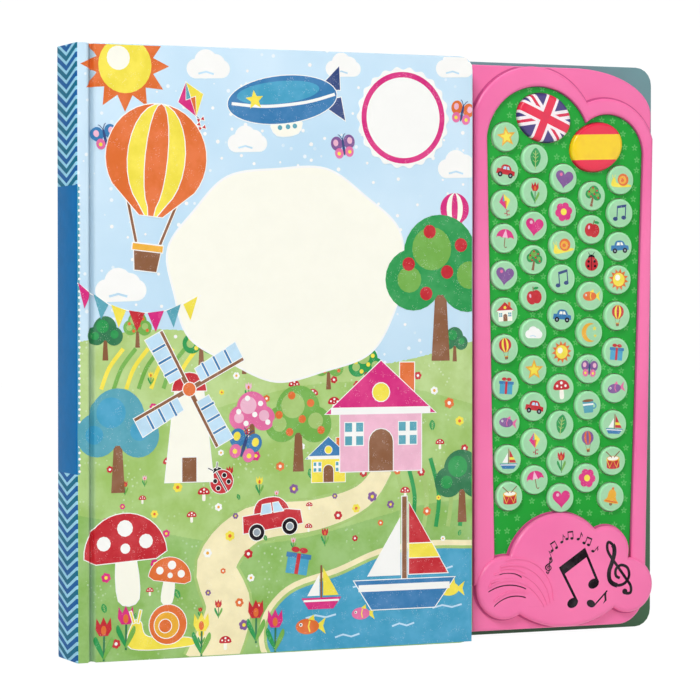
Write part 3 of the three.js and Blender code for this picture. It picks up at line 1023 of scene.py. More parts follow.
class Motifs:
    """Small generic pictures, each drawn within a unit circle."""

    @staticmethod
    def flower(pen: Pen, petals: Ink = Ink.MAGENTA, heart: Ink = Ink.YELLOW) -> None:
        """A round flower with six petals."""
        for i in range(6):
            a = math.pi * i / 3
            pen.disc(0.5 * math.cos(a), 0.5 * math.sin(a), 0.36, petals, sides=16)
        pen.disc(0, 0, 0.3, heart, sides=16)

    @staticmethod
    def star(pen: Pen, ink: Ink = Ink.GOLD, light: Ink = Ink.YELLOW) -> None:
        """A five-pointed star."""
        pen.star(0.95, 0.42, 5, ink)
        pen.star(0.6, 0.27, 5, light)

    @staticmethod
    def heart(pen: Pen, ink: Ink = Ink.MAGENTA, light: Ink = Ink.PINK) -> None:
        """A heart with a highlight."""
        steps = [2 * math.pi * i / 36 for i in range(36)]
        outline = [(0.055 * 16 * math.sin(t) ** 3,
                    0.055 * (13 * math.cos(t) - 5 * math.cos(2 * t) - 2 * math.cos(3 * t) - math.cos(4 * t)))
                   for t in steps]
        pen.shape(outline[::-1], ink)
        pen.disc(-0.36, 0.3, 0.15, light, sides=14)

    @staticmethod
    def sun(pen: Pen, ray: Ink = Ink.ORANGE, face: Ink = Ink.YELLOW) -> None:
        """A sun with rays."""
        pen.star(1.0, 0.66, 12, ray)
        pen.disc(0, 0, 0.6, face)
        pen.disc(-0.15, 0.15, 0.26, Ink.CREAM, sides=18)

    @staticmethod
    def moon(pen: Pen, ink: Ink = Ink.GOLD) -> None:
        """A crescent with two small stars."""
        outer = arc(0, 0, 0.85, math.radians(60), math.radians(300), 22)
        inner = arc(0.34, 0, 0.74, math.radians(265), math.radians(95), 18)
        pen.shape([*outer, *inner], ink)
        pen.star(0.24, 0.1, 5, Ink.YELLOW, 0.45, 0.35)
        pen.star(0.18, 0.08, 5, Ink.YELLOW, 0.5, -0.3)

    @staticmethod
    def cloud(pen: Pen, ink: Ink = Ink.WHITE, shade: Ink = Ink.SKY) -> None:
        """A small cloud."""
        pen.disc(-0.5, -0.12, 0.36, ink, sides=20)
        pen.disc(0.5, -0.1, 0.34, ink, sides=20)
        pen.disc(-0.1, 0.14, 0.46, ink, sides=24)
        pen.disc(0.28, 0.06, 0.38, ink, sides=20)
        pen.shape([(-0.55, -0.48), (0.52, -0.44), (0.52, -0.1), (-0.55, -0.1)], ink)
        pen.line([(-0.4, -0.3), (-0.1, -0.22), (0.2, -0.3)], 0.07, shade)

    @staticmethod
    def fish(pen: Pen, ink: Ink = Ink.ORANGE, fin: Ink = Ink.YELLOW) -> None:
        """A fish that looks left."""
        pen.shape([(0.35, 0), (0.95, 0.45), (0.8, 0), (0.95, -0.45)], fin)
        pen.disc(-0.12, 0, 0.68, ink, 0.42)
        pen.shape([(-0.1, 0.38), (0.25, 0.62), (0.3, 0.3)], fin)
        pen.line([(0.02, 0.3), (-0.06, 0), (0.02, -0.3)], 0.08, fin)
        pen.disc(-0.5, 0.1, 0.1, Ink.WHITE, sides=12)
        pen.disc(-0.51, 0.1, 0.05, Ink.NOTE, sides=10)

    @staticmethod
    def boat(pen: Pen, sail: Ink = Ink.RED, hull: Ink = Ink.BLUE) -> None:
        """A sailing boat."""
        pen.line([(0.02, -0.4), (0.02, 0.95)], 0.08, Ink.BROWN)
        pen.shape([(0.1, -0.28), (0.78, -0.28), (0.1, 0.85)], sail)
        pen.shape([(-0.06, -0.28), (-0.06, 0.6), (-0.6, -0.28)], Ink.WHITE)
        pen.shape([(0.1, -0.02), (0.63, -0.02), (0.5, 0.2), (0.1, 0.2)], Ink.YELLOW)
        pen.shape([(-0.85, -0.36), (-0.55, -0.82), (0.55, -0.82), (0.9, -0.36)], hull)
        pen.line([(-0.76, -0.48), (0.8, -0.48)], 0.08, Ink.WHITE)

    @staticmethod
    def house(pen: Pen, wall: Ink = Ink.CREAM, roof: Ink = Ink.RED) -> None:
        """A cottage with a chimney."""
        pen.box(0.32, 0.56, 0.3, 0.85, Ink.ORANGE)
        pen.box(-0.68, 0.68, -0.8, 0.15, wall)
        pen.shape([(-0.92, 0.08), (0.92, 0.08), (0.0, 0.88)], roof)
        pen.line([(-0.82, 0.12), (0.82, 0.12)], 0.08, Ink.WHITE)
        pen.shape([*arc(0, -0.36, 0.2, 0, math.pi, 8), (-0.2, -0.8), (0.2, -0.8)], Ink.BROWN)
        for side in (-0.45, 0.45):
            pen.box(side - 0.15, side + 0.15, -0.4, -0.06, Ink.AQUA)
            pen.line([(side, -0.4), (side, -0.06)], 0.04, Ink.WHITE)
            pen.line([(side - 0.15, -0.23), (side + 0.15, -0.23)], 0.04, Ink.WHITE)
        pen.disc(0, 0.4, 0.14, Ink.YELLOW, sides=14)

    @staticmethod
    def tree(pen: Pen, crown: Ink = Ink.GREEN, light: Ink = Ink.LEAF, fruit: Ink | None = Ink.RED) -> None:
        """A round tree with marks or fruit."""
        pen.shape([(-0.12, -0.95), (0.14, -0.95), (0.09, -0.1), (-0.07, -0.1)], Ink.BROWN)
        pen.disc(-0.38, 0.1, 0.4, crown, sides=24)
        pen.disc(0.4, 0.08, 0.4, crown, sides=24)
        pen.disc(0.0, 0.42, 0.52, crown, sides=28)
        pen.disc(-0.12, 0.5, 0.28, light, sides=20)
        pen.disc(0.42, 0.16, 0.18, light, sides=16)
        pen.disc(-0.44, 0.1, 0.17, light, sides=16)
        if fruit:
            for fx, fz in ((-0.45, 0.3), (0.1, 0.2), (0.3, 0.55), (-0.15, 0.72), (0.55, -0.05),
                           (-0.2, -0.08)):
                pen.disc(fx, fz, 0.09, fruit, sides=12)

    @staticmethod
    def mushroom(pen: Pen, cap: Ink = Ink.RED, spot: Ink = Ink.WHITE) -> None:
        """A spotted mushroom."""
        pen.shape(soft([(-0.2, -0.85), (0.2, -0.85), (0.16, 0.05), (-0.16, 0.05)], 4), Ink.CREAM)
        pen.shape([*arc(0, 0, 0.82, 0, math.pi, 18, 0.78), (-0.6, -0.12), (0.6, -0.12)], cap)
        for sx, sz, r in ((-0.42, 0.25, 0.12), (0.02, 0.5, 0.14), (0.42, 0.22, 0.12), (0.0, 0.12, 0.08)):
            pen.disc(sx, sz, r, spot, sides=12)

    @staticmethod
    def balloon(pen: Pen, ink: Ink = Ink.RED, band: Ink = Ink.YELLOW) -> None:
        """A hot-air balloon with a basket."""
        pen.line([(-0.3, -0.12), (-0.14, -0.62)], 0.03, Ink.BROWN)
        pen.line([(0.3, -0.12), (0.14, -0.62)], 0.03, Ink.BROWN)
        gores = ((0.6, 125, 26, 0.14, ink), (0.34, 150, 22, 0.07, band), (0.13, 160, 18, 0.03, ink))
        for r, sweep, steps, foot, colour in gores:
            hull = arc(0, 0.36, r, math.radians(90 - sweep), math.radians(90 + sweep), steps, 0.6)
            pen.shape([*hull, (-foot, -0.3), (foot, -0.3)], colour)
        pen.shape([(-0.17, -0.62), (0.17, -0.62), (0.13, -0.92), (-0.13, -0.92)], Ink.BROWN)
        pen.line([(-0.18, -0.66), (0.18, -0.66)], 0.07, Ink.GOLD)

    @staticmethod
    def kite(pen: Pen, left: Ink = Ink.MAGENTA, right: Ink = Ink.YELLOW) -> None:
        """A kite with a bowed tail."""
        tail = [(0.0, -0.45), (0.14, -0.62), (-0.08, -0.78), (0.1, -0.95)]
        pen.line(tail, 0.04, Ink.NAVY)
        pen.shape([(0, 0.95), (-0.55, 0.3), (0, -0.45)], left)
        pen.shape([(0, -0.45), (0.55, 0.3), (0, 0.95)], right)
        pen.shape([(0, 0.95), (-0.2, 0.3), (0, 0.3)], Ink.AQUA)
        pen.shape([(0, 0.3), (0.2, 0.3), (0, -0.45)], Ink.ORANGE)
        for bx, bz in tail[1:]:
            pen.shape([(bx, bz), (bx - 0.14, bz + 0.08), (bx - 0.14, bz - 0.08)], Ink.RED)
            pen.shape([(bx, bz), (bx + 0.14, bz - 0.08), (bx + 0.14, bz + 0.08)], Ink.RED)

    @staticmethod
    def butterfly(pen: Pen, wing: Ink = Ink.PURPLE, spot: Ink = Ink.PINK) -> None:
        """A butterfly seen from above."""
        for side in (-1, 1):
            pen.disc(side * 0.44, 0.28, 0.4, wing, 0.46, 22)
            pen.disc(side * 0.36, -0.36, 0.3, Ink.ROSE, 0.34, 20)
            pen.disc(side * 0.5, 0.34, 0.18, spot, 0.22, 16)
            pen.disc(side * 0.38, -0.38, 0.12, Ink.YELLOW, sides=14)
            pen.line([(0, 0.5), (side * 0.16, 0.78), (side * 0.26, 0.84)], 0.04, Ink.NAVY)
        pen.disc(0, 0.0, 0.09, Ink.NAVY, 0.56, 18)

    @staticmethod
    def apple(pen: Pen, ink: Ink = Ink.RED, leaf: Ink = Ink.GREEN) -> None:
        """An apple with a leaf."""
        pen.disc(-0.24, -0.08, 0.5, ink, 0.6, 24)
        pen.disc(0.24, -0.08, 0.5, ink, 0.6, 24)
        pen.line([(0.0, 0.42), (0.06, 0.86)], 0.09, Ink.BROWN)
        pen.disc(0.32, 0.68, 0.26, leaf, 0.12, 16)
        pen.disc(-0.36, 0.12, 0.1, Ink.PINK, 0.18, 12)

    @staticmethod
    def leaf(pen: Pen, ink: Ink = Ink.GREEN, vein: Ink = Ink.LIME) -> None:
        """A leaf with veins."""
        pen.shape(soft([(0, 0.95), (0.5, 0.3), (0.36, -0.4), (0, -0.75), (-0.36, -0.4), (-0.5, 0.3)]), ink)
        pen.line([(0, 0.7), (0, -0.95)], 0.08, vein)
        for h in (-0.25, 0.1, 0.4):
            pen.line([(0, h - 0.1), (0.26, h + 0.12)], 0.05, vein)
            pen.line([(0, h - 0.1), (-0.26, h + 0.12)], 0.05, vein)

    @staticmethod
    def gift(pen: Pen, box: Ink = Ink.POND, band: Ink = Ink.RED) -> None:
        """A wrapped box with a bow."""
        pen.box(-0.62, 0.62, -0.72, 0.2, box)
        pen.box(-0.72, 0.72, 0.14, 0.4, Ink.BLUE)
        pen.box(-0.11, 0.11, -0.72, 0.4, band)
        pen.disc(-0.24, 0.58, 0.24, band, 0.15, 16)
        pen.disc(0.24, 0.58, 0.24, band, 0.15, 16)

    @staticmethod
    def drum(pen: Pen, side: Ink = Ink.RED, skin: Ink = Ink.CREAM) -> None:
        """A drum with laces and two sticks."""
        pen.box(-0.65, 0.65, -0.55, 0.2, side)
        pen.disc(0, -0.55, 0.65, side, 0.18, 22)
        pen.line([(-0.65, 0.15), (-0.35, -0.6), (0.0, 0.1), (0.35, -0.6), (0.65, 0.15)], 0.07, Ink.YELLOW)
        pen.disc(0, 0.2, 0.67, Ink.GOLD, 0.24, 24)
        pen.disc(0, 0.22, 0.57, skin, 0.18, 24)
        pen.line([(0.1, 0.3), (0.7, 0.85)], 0.08, Ink.BROWN)
        pen.line([(-0.1, 0.3), (-0.7, 0.85)], 0.08, Ink.BROWN)

    @staticmethod
    def note(pen: Pen, ink: Ink = Ink.NAVY) -> None:
        """A pair of beamed notes."""
        pen.line([(-0.34, -0.5), (-0.34, 0.62)], 0.1, ink)
        pen.line([(0.5, -0.34), (0.5, 0.78)], 0.1, ink)
        pen.shape([(-0.39, 0.4), (0.55, 0.58), (0.55, 0.82), (-0.39, 0.64)], ink)
        pen.disc(-0.5, -0.54, 0.24, ink, 0.18, 18)
        pen.disc(0.34, -0.38, 0.24, ink, 0.18, 18)

    @staticmethod
    def umbrella(pen: Pen, ink: Ink = Ink.MAGENTA, rib: Ink = Ink.PINK) -> None:
        """An open umbrella."""
        pen.line([(0, 0.1), (0, -0.66), (0.1, -0.82), (0.26, -0.74)], 0.08, Ink.BROWN)
        pen.shape([*arc(0, 0.0, 0.86, 0, math.pi, 20, 0.8), *bulge((-0.86, 0), (-0.29, 0), 0.12, 5)[1:],
                   *bulge((-0.29, 0), (0.29, 0), 0.12, 5)[1:],
                   *bulge((0.29, 0), (0.86, 0), 0.12, 5)[1:-1]], ink)
        pen.shape([(-0.27, 0.06), (0.27, 0.06), (0.0, 0.8)], rib)

    @staticmethod
    def cup(pen: Pen, ink: Ink = Ink.AQUA, band: Ink = Ink.WHITE) -> None:
        """A cup with a handle and a stripe."""
        pen.disc(0.5, -0.08, 0.3, ink, sides=20)
        pen.disc(0.5, -0.08, 0.16, Ink.MINT, sides=16)
        pen.shape([(-0.6, 0.42), (-0.48, -0.66), (0.4, -0.66), (0.52, 0.42)], ink)
        pen.line([(-0.57, 0.08), (0.49, 0.08)], 0.16, band)
        pen.disc(-0.04, 0.42, 0.56, Ink.BROWN, 0.12, 20)

    @staticmethod
    def car(pen: Pen, ink: Ink = Ink.RED, glass: Ink = Ink.SKY) -> None:
        """A small car from the side."""
        pen.shape(soft([(-0.45, 0.05), (-0.32, 0.48), (0.3, 0.48), (0.52, 0.05)], 4), ink)
        pen.shape([(-0.9, -0.35), (0.92, -0.35), (0.9, 0.02), (0.5, 0.12), (-0.85, 0.12)], ink)
        pen.shape([(-0.3, 0.1), (-0.22, 0.36), (0.02, 0.36), (0.02, 0.1)], glass)
        pen.shape([(0.1, 0.1), (0.1, 0.36), (0.26, 0.36), (0.38, 0.1)], glass)
        for wheel in (-0.5, 0.52):
            pen.disc(wheel, -0.38, 0.23, Ink.NOTE, sides=18)
            pen.disc(wheel, -0.38, 0.1, Ink.GREY, sides=14)

    @staticmethod
    def bell(pen: Pen, ink: Ink = Ink.GOLD, band: Ink = Ink.ORANGE) -> None:
        """A hand bell."""
        pen.disc(0, -0.62, 0.16, Ink.BROWN, sides=14)
        pen.shape(soft([(-0.7, -0.5), (0.7, -0.5), (0.45, -0.1), (0.36, 0.45), (0, 0.72), (-0.36, 0.45),
                        (-0.45, -0.1)]), ink)
        pen.line([(-0.6, -0.4), (0.6, -0.4)], 0.12, band)
        pen.disc(0, 0.78, 0.12, band, sides=12)

    @staticmethod
    def snail(pen: Pen, shell: Ink = Ink.ORANGE, body: Ink = Ink.YELLOW) -> None:
        """A snail with a round shell."""
        pen.shape(soft([(-0.9, -0.6), (0.85, -0.6), (0.8, -0.38), (-0.4, -0.3), (-0.62, 0.12),
                        (-0.86, 0.1)]), body)
        pen.disc(0.18, 0.02, 0.55, shell, sides=26)
        pen.disc(0.14, 0.0, 0.36, Ink.GOLD, sides=22)
        pen.disc(0.1, -0.02, 0.18, shell, sides=18)
        pen.line([(-0.7, 0.1), (-0.62, 0.45)], 0.05, body)
        pen.line([(-0.82, 0.1), (-0.92, 0.42)], 0.05, body)

    @staticmethod
    def ladybird(pen: Pen, ink: Ink = Ink.RED, spot: Ink = Ink.NOTE) -> None:
        """A ladybird from above."""
        pen.disc(0, 0.45, 0.34, spot, 0.28, 18)
        pen.disc(0, -0.1, 0.66, ink, 0.62, 26)
        pen.line([(0, 0.5), (0, -0.7)], 0.06, spot)
        for side in (-1, 1):
            pen.disc(side * 0.3, 0.12, 0.12, spot, sides=12)
            pen.disc(side * 0.34, -0.3, 0.12, spot, sides=12)
            pen.line([(side * 0.12, 0.66), (side * 0.3, 0.92)], 0.05, spot)

    @staticmethod
    def tulip(pen: Pen, ink: Ink = Ink.RED, light: Ink = Ink.ORANGE) -> None:
        """A tulip with two leaves."""
        pen.line([(0, -0.98), (0.02, 0.2)], 0.08, Ink.FOREST)
        pen.shape(soft([(0, -0.9), (-0.42, -0.2), (-0.34, 0.1), (-0.06, -0.5)], 4), Ink.GREEN)
        pen.shape(soft([(0, -0.9), (0.42, -0.25), (0.36, 0.05), (0.06, -0.5)], 4)[::-1], Ink.LEAF)
        pen.shape([(-0.32, 0.88), (-0.36, 0.4), (-0.2, 0.12), (0.2, 0.12), (0.36, 0.4), (0.32, 0.88),
                   (0.15, 0.6),
                   (0, 0.92), (-0.15, 0.6)], ink)
        pen.disc(0, 0.36, 0.12, light, 0.2, 14)


def body_name(node: bpy.types.Object) -> str:
    """The body that a CAD node rides on."""
    return body_of(node)[0]


def attach(obj: bpy.types.Object, node: bpy.types.Object, stands_for: bool = False) -> None:
    """Lets a piece move with a node's body.

    Args:
        obj: The piece.
        node: The CAD node whose body it rides on.
        stands_for: Whether it replaces the node.
    """
    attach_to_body(obj, body_name(node))
    if stands_for:
        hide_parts(node.name)
    LOG.info("%s: %d faces", obj.name, len(obj.data.polygons))


@dataclass
class Assembly:
    """What each sub-assembly of the book needs."""

    axes: BookAxes
    palette: Palette
    kit: dict[str, Any]

    def node(self, name: str) -> bpy.types.Object:
        """A CAD node's object."""
        return self.kit["nodes"][name]


@dataclass(frozen=True)
class Shell:
    """A CAD node shown again with its edges softened and a finish on each face."""

    node: str
    slot: str
    width: float
    finish: Callable[[Vector, Vector], Material]

    def build(self, kit: dict[str, Any]) -> None:
        """Makes the softened copy and lets it stand for the node.
        """
        node = kit["nodes"][self.node]
        mesh = node.data.copy()
        mesh.name = self.node + "_shell"
        made = bmesh.new()
        made.from_mesh(mesh)
        bmesh.ops.remove_doubles(made, verts=made.verts, dist=1e-6)
        bmesh.ops.dissolve_limit(made, angle_limit=math.radians(1), verts=made.verts, edges=made.edges)
        sharp = [e for e in made.edges if e.is_manifold and e.calc_face_angle(0.0) > SHARP]
        bmesh.ops.bevel(made, geom=sharp, offset=self.width * MM, segments=3, profile=0.5, affect="EDGES",
                        clamp_overlap=True)
        made.normal_update()
        finishes: list[Material] = []
        for face in made.faces:
            finish = self.finish(face.normal, face.calc_center_median())
            if finish not in finishes:
                finishes.append(finish)
            face.material_index = finishes.index(finish)
            face.smooth = True
        for edge in made.edges:
            edge.smooth = edge.is_manifold and edge.calc_face_angle(9.0) < SMOOTH
        mesh.materials.clear()
        for finish in finishes:
            mesh.materials.append(finish)
        made.to_mesh(mesh)
        made.free()
        attach(placed(self.node + "_shell", mesh), node, True)


@dataclass
class Covers(Assembly):
    """Both covers, the spine, the pages and the paper that crosses the hinges."""

    shoulder: float = 5.7
    board_start: float = 9.0
    dip: float = 2.0
    paper_steps: int = 16
    lift: float = 0.012
    paper: float = 0.35
    screw_height: float = 6.1
    screw_radius: float = 2.4
    dot_pitch: float = 2.9

    def build(self) -> None:
        """Makes every piece."""
        p = self.palette
        middle = self.axes.front + self.axes.thickness / 2 * MM

        def front(normal: Vector, centre: Vector) -> Material:
            """The lining on the inside, the printed cover elsewhere."""
            return p.lining if normal.y > 0.9 else p.cover

        def back(normal: Vector, centre: Vector) -> Material:
            """The inner print inside, the outer print elsewhere."""
            return p.outer if normal.y > 0.5 else p.inner

        def spine(normal: Vector, centre: Vector) -> Material:
            """Chevrons outside and bare board inside."""
            if normal.x > 0.9 and abs(centre.y - middle) < 11 * MM:
                return p.board
            if normal.x < -0.3:
                return p.spine
            return p.cover if centre.y < middle else p.outer

        Shell("front_cover", "cover_print", 0.55, front).build(self.kit)
        Shell("back_cover", "cover_print", 0.55, back).build(self.kit)
        Shell("page_block", "page_paper", 0.12, lambda normal, centre: p.pages).build(self.kit)
        Shell("spine", "spine_print", 0.35, spine).build(self.kit)
        Shell("battery_door", "panel_plastic", 0.2, lambda normal, centre: p.panel).build(self.kit)
        self.screw_head()
        self.spine_dots()
        # The front hinge paper's print carries painted shade along the groove.
        self.hinge_paper("hinge_paper_front", 0.0, 1, "front_cover", p.cover_shaded_groove)
        self.hinge_paper("hinge_paper_back", self.axes.thickness, -1, "back_cover", p.outer)

    def screw_head(self) -> None:
        """Faces the battery door's screw with steel and a cross slot, the slot a near-black plate of painted
        shade.
        """
        body = Body(self.axes)
        low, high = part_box("battery_door")
        x, z = self.axes.local((low + high) / 2)[0], self.axes.local(low)[2] + self.screw_height
        back = self.axes.thickness
        body.prism(circle(x, z, self.screw_radius, 28), back - 0.4, back - 0.06, self.palette.steel)
        for long, tall in ((1.5, 0.32), (0.32, 1.5)):
            body.prism(rounded(x - long, x + long, z - tall, z + tall, (0.1,) * 4, 3), back - 0.3,
                       back - 0.03,
                       self.palette.slot_shade)
        obj = body.make("screw_head")
        attach(obj, self.node("battery_door"))

    def paper_span(self) -> Point:
        """Where the loose paper starts and ends across."""
        return self.shoulder - 0.9, self.board_start + 0.9

    def dip_at(self, x: float) -> float:
        """How deep the paper lies below the cover's face."""
        share = (x - self.shoulder) / (self.board_start - self.shoulder)
        return self.dip * math.sin(math.pi * min(max(share, 0), 1)) ** 2

    def bend(self, obj: bpy.types.Object, face: float, node: str) -> None:
        """Lets a piece bend between the spine and a cover."""
        start = self.axes.world(self.shoulder, face, 145)
        end = self.axes.world(self.board_start, face, 145)
        nodes = self.kit["nodes"]
        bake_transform(obj, body_name(nodes["spine"]), body_name(nodes[node]), start, end)

    def spine_dots(self) -> None:
        """Prints the row of pale dots where the title band wraps onto the front."""
        body = Body(self.axes)
        pen = Pen(body, self.palette.inks, 0, 0, 1.0, 0.0, [0.02])
        low, high = self.palette.title_band
        pen.box(0.45, 1.5, low, high, Ink.AQUA)
        for i in range(round((high - low) / self.dot_pitch)):
            pen.height[0] = 0.04
            pen.disc(1.35, low + 1.5 + self.dot_pitch * i, 0.62, Ink.WHITE, sides=12)
        obj = body.make("spine_dots")
        attach(obj, self.node("spine"))

    def hinge_paper(self, name: str, face: float, inward: int, node: str, finish: Material) -> None:
        """Makes the paper that dips over a groove and bends with its cover.

        Args:
            name: The piece's name.
            face: Depth of the cover's outer face.
            inward: 1 where the book's inside lies at greater depth.
            node: The cover that it is glued to.
            finish: Its print.
        """
        low, high = self.paper_span()
        places = [low + (high - low) * i / self.paper_steps for i in range(self.paper_steps + 1)]
        line = [(x, face + inward * (self.dip_at(x) - self.lift)) for x in places]
        body = Body(self.axes)
        z0, z1 = 0.4, self.axes.height - 0.4
        rings = []
        for x, depth in line:
            at = len(body.verts)
            for z in (z0, z1):
                for d in (depth, depth + inward * self.paper):
                    body.verts.append(self.axes.world(x, d, z))
            rings.append([at, at + 1, at + 3, at + 2])
        body.loft(rings, finish)
        body.face(rings[0], finish)
        body.face(rings[-1], finish)
        obj = body.make(name)
        self.bend(obj, face, node)
        LOG.info("%s: made", name)


@dataclass(frozen=True)
class Lobe:
    """A round end of the raised frame or of the label."""

    x: float
    z: float
    r: float


def lobed(large: Lobe, small: Lobe, left: float, right: float, tapers: Point, bottom: float) -> list[Point]:
    """Two lobes on straight sides that draw together towards the bottom.

    Args:
        large: The left lobe.
        small: The right lobe.
        left: Left side at the top.
        right: Right side at the top.
        tapers: How far the left and the right side draw in.
        bottom: Height of the level bottom edge.

    Returns:
        The outline, anticlockwise.
    """
    gap = math.hypot(small.x - large.x, small.z - large.z)
    along = (large.r**2 - small.r**2 + gap * gap) / (2 * gap)
    up = math.sqrt(large.r**2 - along * along)
    ux, uz = (small.x - large.x) / gap, (small.z - large.z) / gap
    notch = (large.x + along * ux - up * uz, large.z + along * uz + up * ux)
    start = math.acos(min((right - small.x) / small.r, 1))
    end = math.pi - math.acos(min((large.x - left) / large.r, 1))
    a_small = math.atan2(notch[1] - small.z, notch[0] - small.x)
    a_large = math.atan2(notch[1] - large.z, notch[0] - large.x)
    return [
        (left + tapers[0], bottom),
        (right - tapers[1], bottom),
        *arc(small.x, small.z, small.r, start, a_small, 30),
        *arc(large.x, large.z, large.r, a_large, end, 44)[1:],
    ]


@dataclass
class SoundPanel(Assembly):
    """The moulded housing: base, raised frame, label and the cloud over the loudspeaker."""

    left: float = 209.5
    right: float = 312.1
    bottom: float = 4.0
    top: float = 287.0
    front: float = 8.0
    back: float = 25.7
    wall: float = 2.0
    crest: float = 5.5
    cloud_front: float = 3.8
    floor_back: float = 10.0
    speaker: Point = (23.5, 23.0)
    speaker_radius: float = 15.0

    def outline(self, inset: float) -> list[Point]:
        """The panel's outline, moved in."""
        foot = max(15 - inset, 1)
        low, right, top = self.bottom + inset, self.right - inset, self.top - inset
        return [
            (self.left + inset, low),
            *arc(right - 4 - foot, low + foot, foot, 1.5 * math.pi, 2 * math.pi, 14),
            *arc(right - 44 + inset, top - 23 + inset, 44 - inset, 0, math.pi / 2, 26, 23 - inset),
            (self.left + inset, top),
        ]

    def at(self, x: float, z: float) -> Point:
        """A point measured from the panel's lower left corner."""
        return self.left + x, self.bottom + z

    def cloud(self, inset: float = 0.0) -> list[Point]:
        """The cloud's outline, anticlockwise."""
        low_left, low_right = self.at(25.7, 8), self.at(79.5, 9)
        right, high_right, high_left = self.at(87.8, 34.4), self.at(68.9, 49.3), self.at(19.9, 37.6)
        points = [
            *bulge(high_left, high_right, 14.5, 30)[1:],
            *bulge(high_right, right, 8, 16)[1:],
            *bulge(right, low_right, 18.5, 24)[1:],
            *bulge(low_right, low_left, 8, 24)[1:],
            *bulge(low_left, high_left, 21.5, 30)[1:],
        ][::-1]
        return moved_in(points, inset) if inset else points

    def build(self, caps: Sequence["Cap"]) -> None:
        """Makes the housing and the label.

        Args:
            caps: Every button, for the holes.
        """
        p = self.palette
        body = Body(self.axes)
        self.base(body, caps)
        self.frame(body)
        self.cloud_shell(body)
        node = self.node("sound_housing")
        attach(body.make("sound_housing_shell", 38), node, True)
        self.label(caps, node)
        self.cloud_print(node)

    def base(self, body: Body, caps: Sequence["Cap"]) -> None:
        """Adds the floor with its holes and the side walls, the holes' walls in darker pink as painted shade.
        """
        pink = self.palette.panel
        profile = [(1.4, 8.0), (0.75, 8.12), (0.3, 8.45), (0.08, 8.9), (0.0, 9.6), (0.0, self.back),
                   (self.wall, self.back), (self.wall, self.floor_back)]
        rings = [body.ring(self.outline(inset), depth) for inset, depth in profile]
        body.loft(rings, pink)
        outlines = [cap.rim(0.3) for cap in caps]
        outlines.append(circle(*self.speaker_centre(), self.speaker_radius, 40))
        fronts = [body.ring(points, self.front) for points in outlines]
        backs = [body.ring(points, self.floor_back) for points in outlines]
        # The holes' walls in darker pink: painted shade inside the holes.
        for a, b in zip(fronts, backs):
            body.bridge(a, b, self.palette.shadow_groove)
        body.fill([rings[0], *fronts], pink)
        body.fill([rings[-1], *backs], pink)

    def speaker_centre(self) -> Point:
        """The loudspeaker's axis."""
        return self.at(*self.speaker)

    def field(self, out: float = 0.0) -> list[Point]:
        """The label's outline, moved out by a distance."""
        points = lobed(Lobe(246.5, 247.5, 29.5), Lobe(286.3, 244, 20), 217.3, 306.3, (4.5, 7), 33)
        return moved_in(points, -out) if out else points

    def frame(self, body: Body) -> None:
        """Adds the raised frame round the label, with painted shade at its foot and a painted shadow line
        round it.
        """
        pink = self.palette.panel
        outer = lobed(Lobe(243, 251, 36), Lobe(284.9, 243.5, 28.5), self.left, self.right, (0.4, 4), 27.2)
        profile = [(0.0, self.front + 0.3), (0.02, 7.2), (0.25, 6.5), (0.75, 5.95), (1.5, 5.6),
                   (2.4, self.crest)]
        outside = [body.ring(moved_in(outer, inset) if inset else outer, depth) for inset, depth in profile]
        inside = [body.ring(self.field(max(inset - 0.05, 0.0) * 0.8), depth) for inset, depth in profile]
        # The lowest two bands of each side in darker pink: painted shade at the frame's foot.
        for rings in (outside, inside):
            body.loft(rings, pink, self.palette.shadow_groove)
        body.fill([outside[-1], inside[-1]], pink)
        body.fill([outside[0], inside[0]], pink)
        arcs = slice(2, len(outer))
        self.crease_shadow(body, [*moved_in(outer, -0.75)[arcs], *moved_in(outer, 1.5)[arcs][::-1]])

    def crease_shadow(self, body: Body, outline: Sequence[Point]) -> None:
        """Adds a painted shadow line, a thin strip of darker pink, where a raised form meets the plate."""
        limits = (self.left + 0.7, self.right - 0.7, self.bottom + 0.7, self.top - 0.6)
        body.prism(clipped(outline, limits), 7.9, self.front + 0.05, self.palette.shadow_groove)

    def cloud_shell(self, body: Body) -> None:
        """Adds the cloud with its rounded edge and three blind slots, with painted shade at its foot and in
        its slots, and a painted shadow line round it.
        """
        pink = self.palette.panel
        profile = [(0.0, 8.6), (0.0, 7.1), (0.0, 5.9), (0.25, 5.1), (0.8, 4.45), (1.6, 4.0),
                   (2.6, self.cloud_front)]
        rings = [body.ring(self.cloud(inset), depth) for inset, depth in profile]
        # The lowest two bands in darker pink: painted shade at the cloud's foot.
        body.loft(rings, pink, self.palette.shadow_groove)
        slots = [body.ring(points, self.cloud_front) for points in self.slots()]
        # Slot walls and floors in near-black plum: painted shade in the blind slots.
        for ring, points in zip(slots, self.slots()):
            floor = body.ring(points, 5.9)
            body.bridge(ring, floor, self.palette.slot_shade)
            body.face(floor, self.palette.slot_shade)
        body.fill([rings[-1], *slots], pink)
        body.face(rings[0], pink)
        line = clipped(moved_in(self.cloud(), -0.75), (self.left, self.right - 4.8, self.bottom, self.top))
        self.crease_shadow(body, line)

    def slots(self) -> list[list[Point]]:
        """The three sound slots, as arcs."""
        arcs = [
            (self.at(13.6, 28.9), self.at(25.9, 27), 1.4),
            (self.at(7.3, 20.4), self.at(28.3, 21.1), 2.6),
            (self.at(10.4, 12.9), self.at(28.2, 16.7), 2.6),
        ]
        made = []
        for a, b, rise in arcs:
            upper = bulge(a, b, rise, 16)
            made.append([*[(x, z - 0.6) for x, z in upper], *upper[::-1]])
        return made

    def label(self, caps: Sequence["Cap"], node: bpy.types.Object) -> None:
        """Lays the green label on the floor, over a thin painted shadow line in darker green."""
        p = self.palette
        body = Body(self.axes)
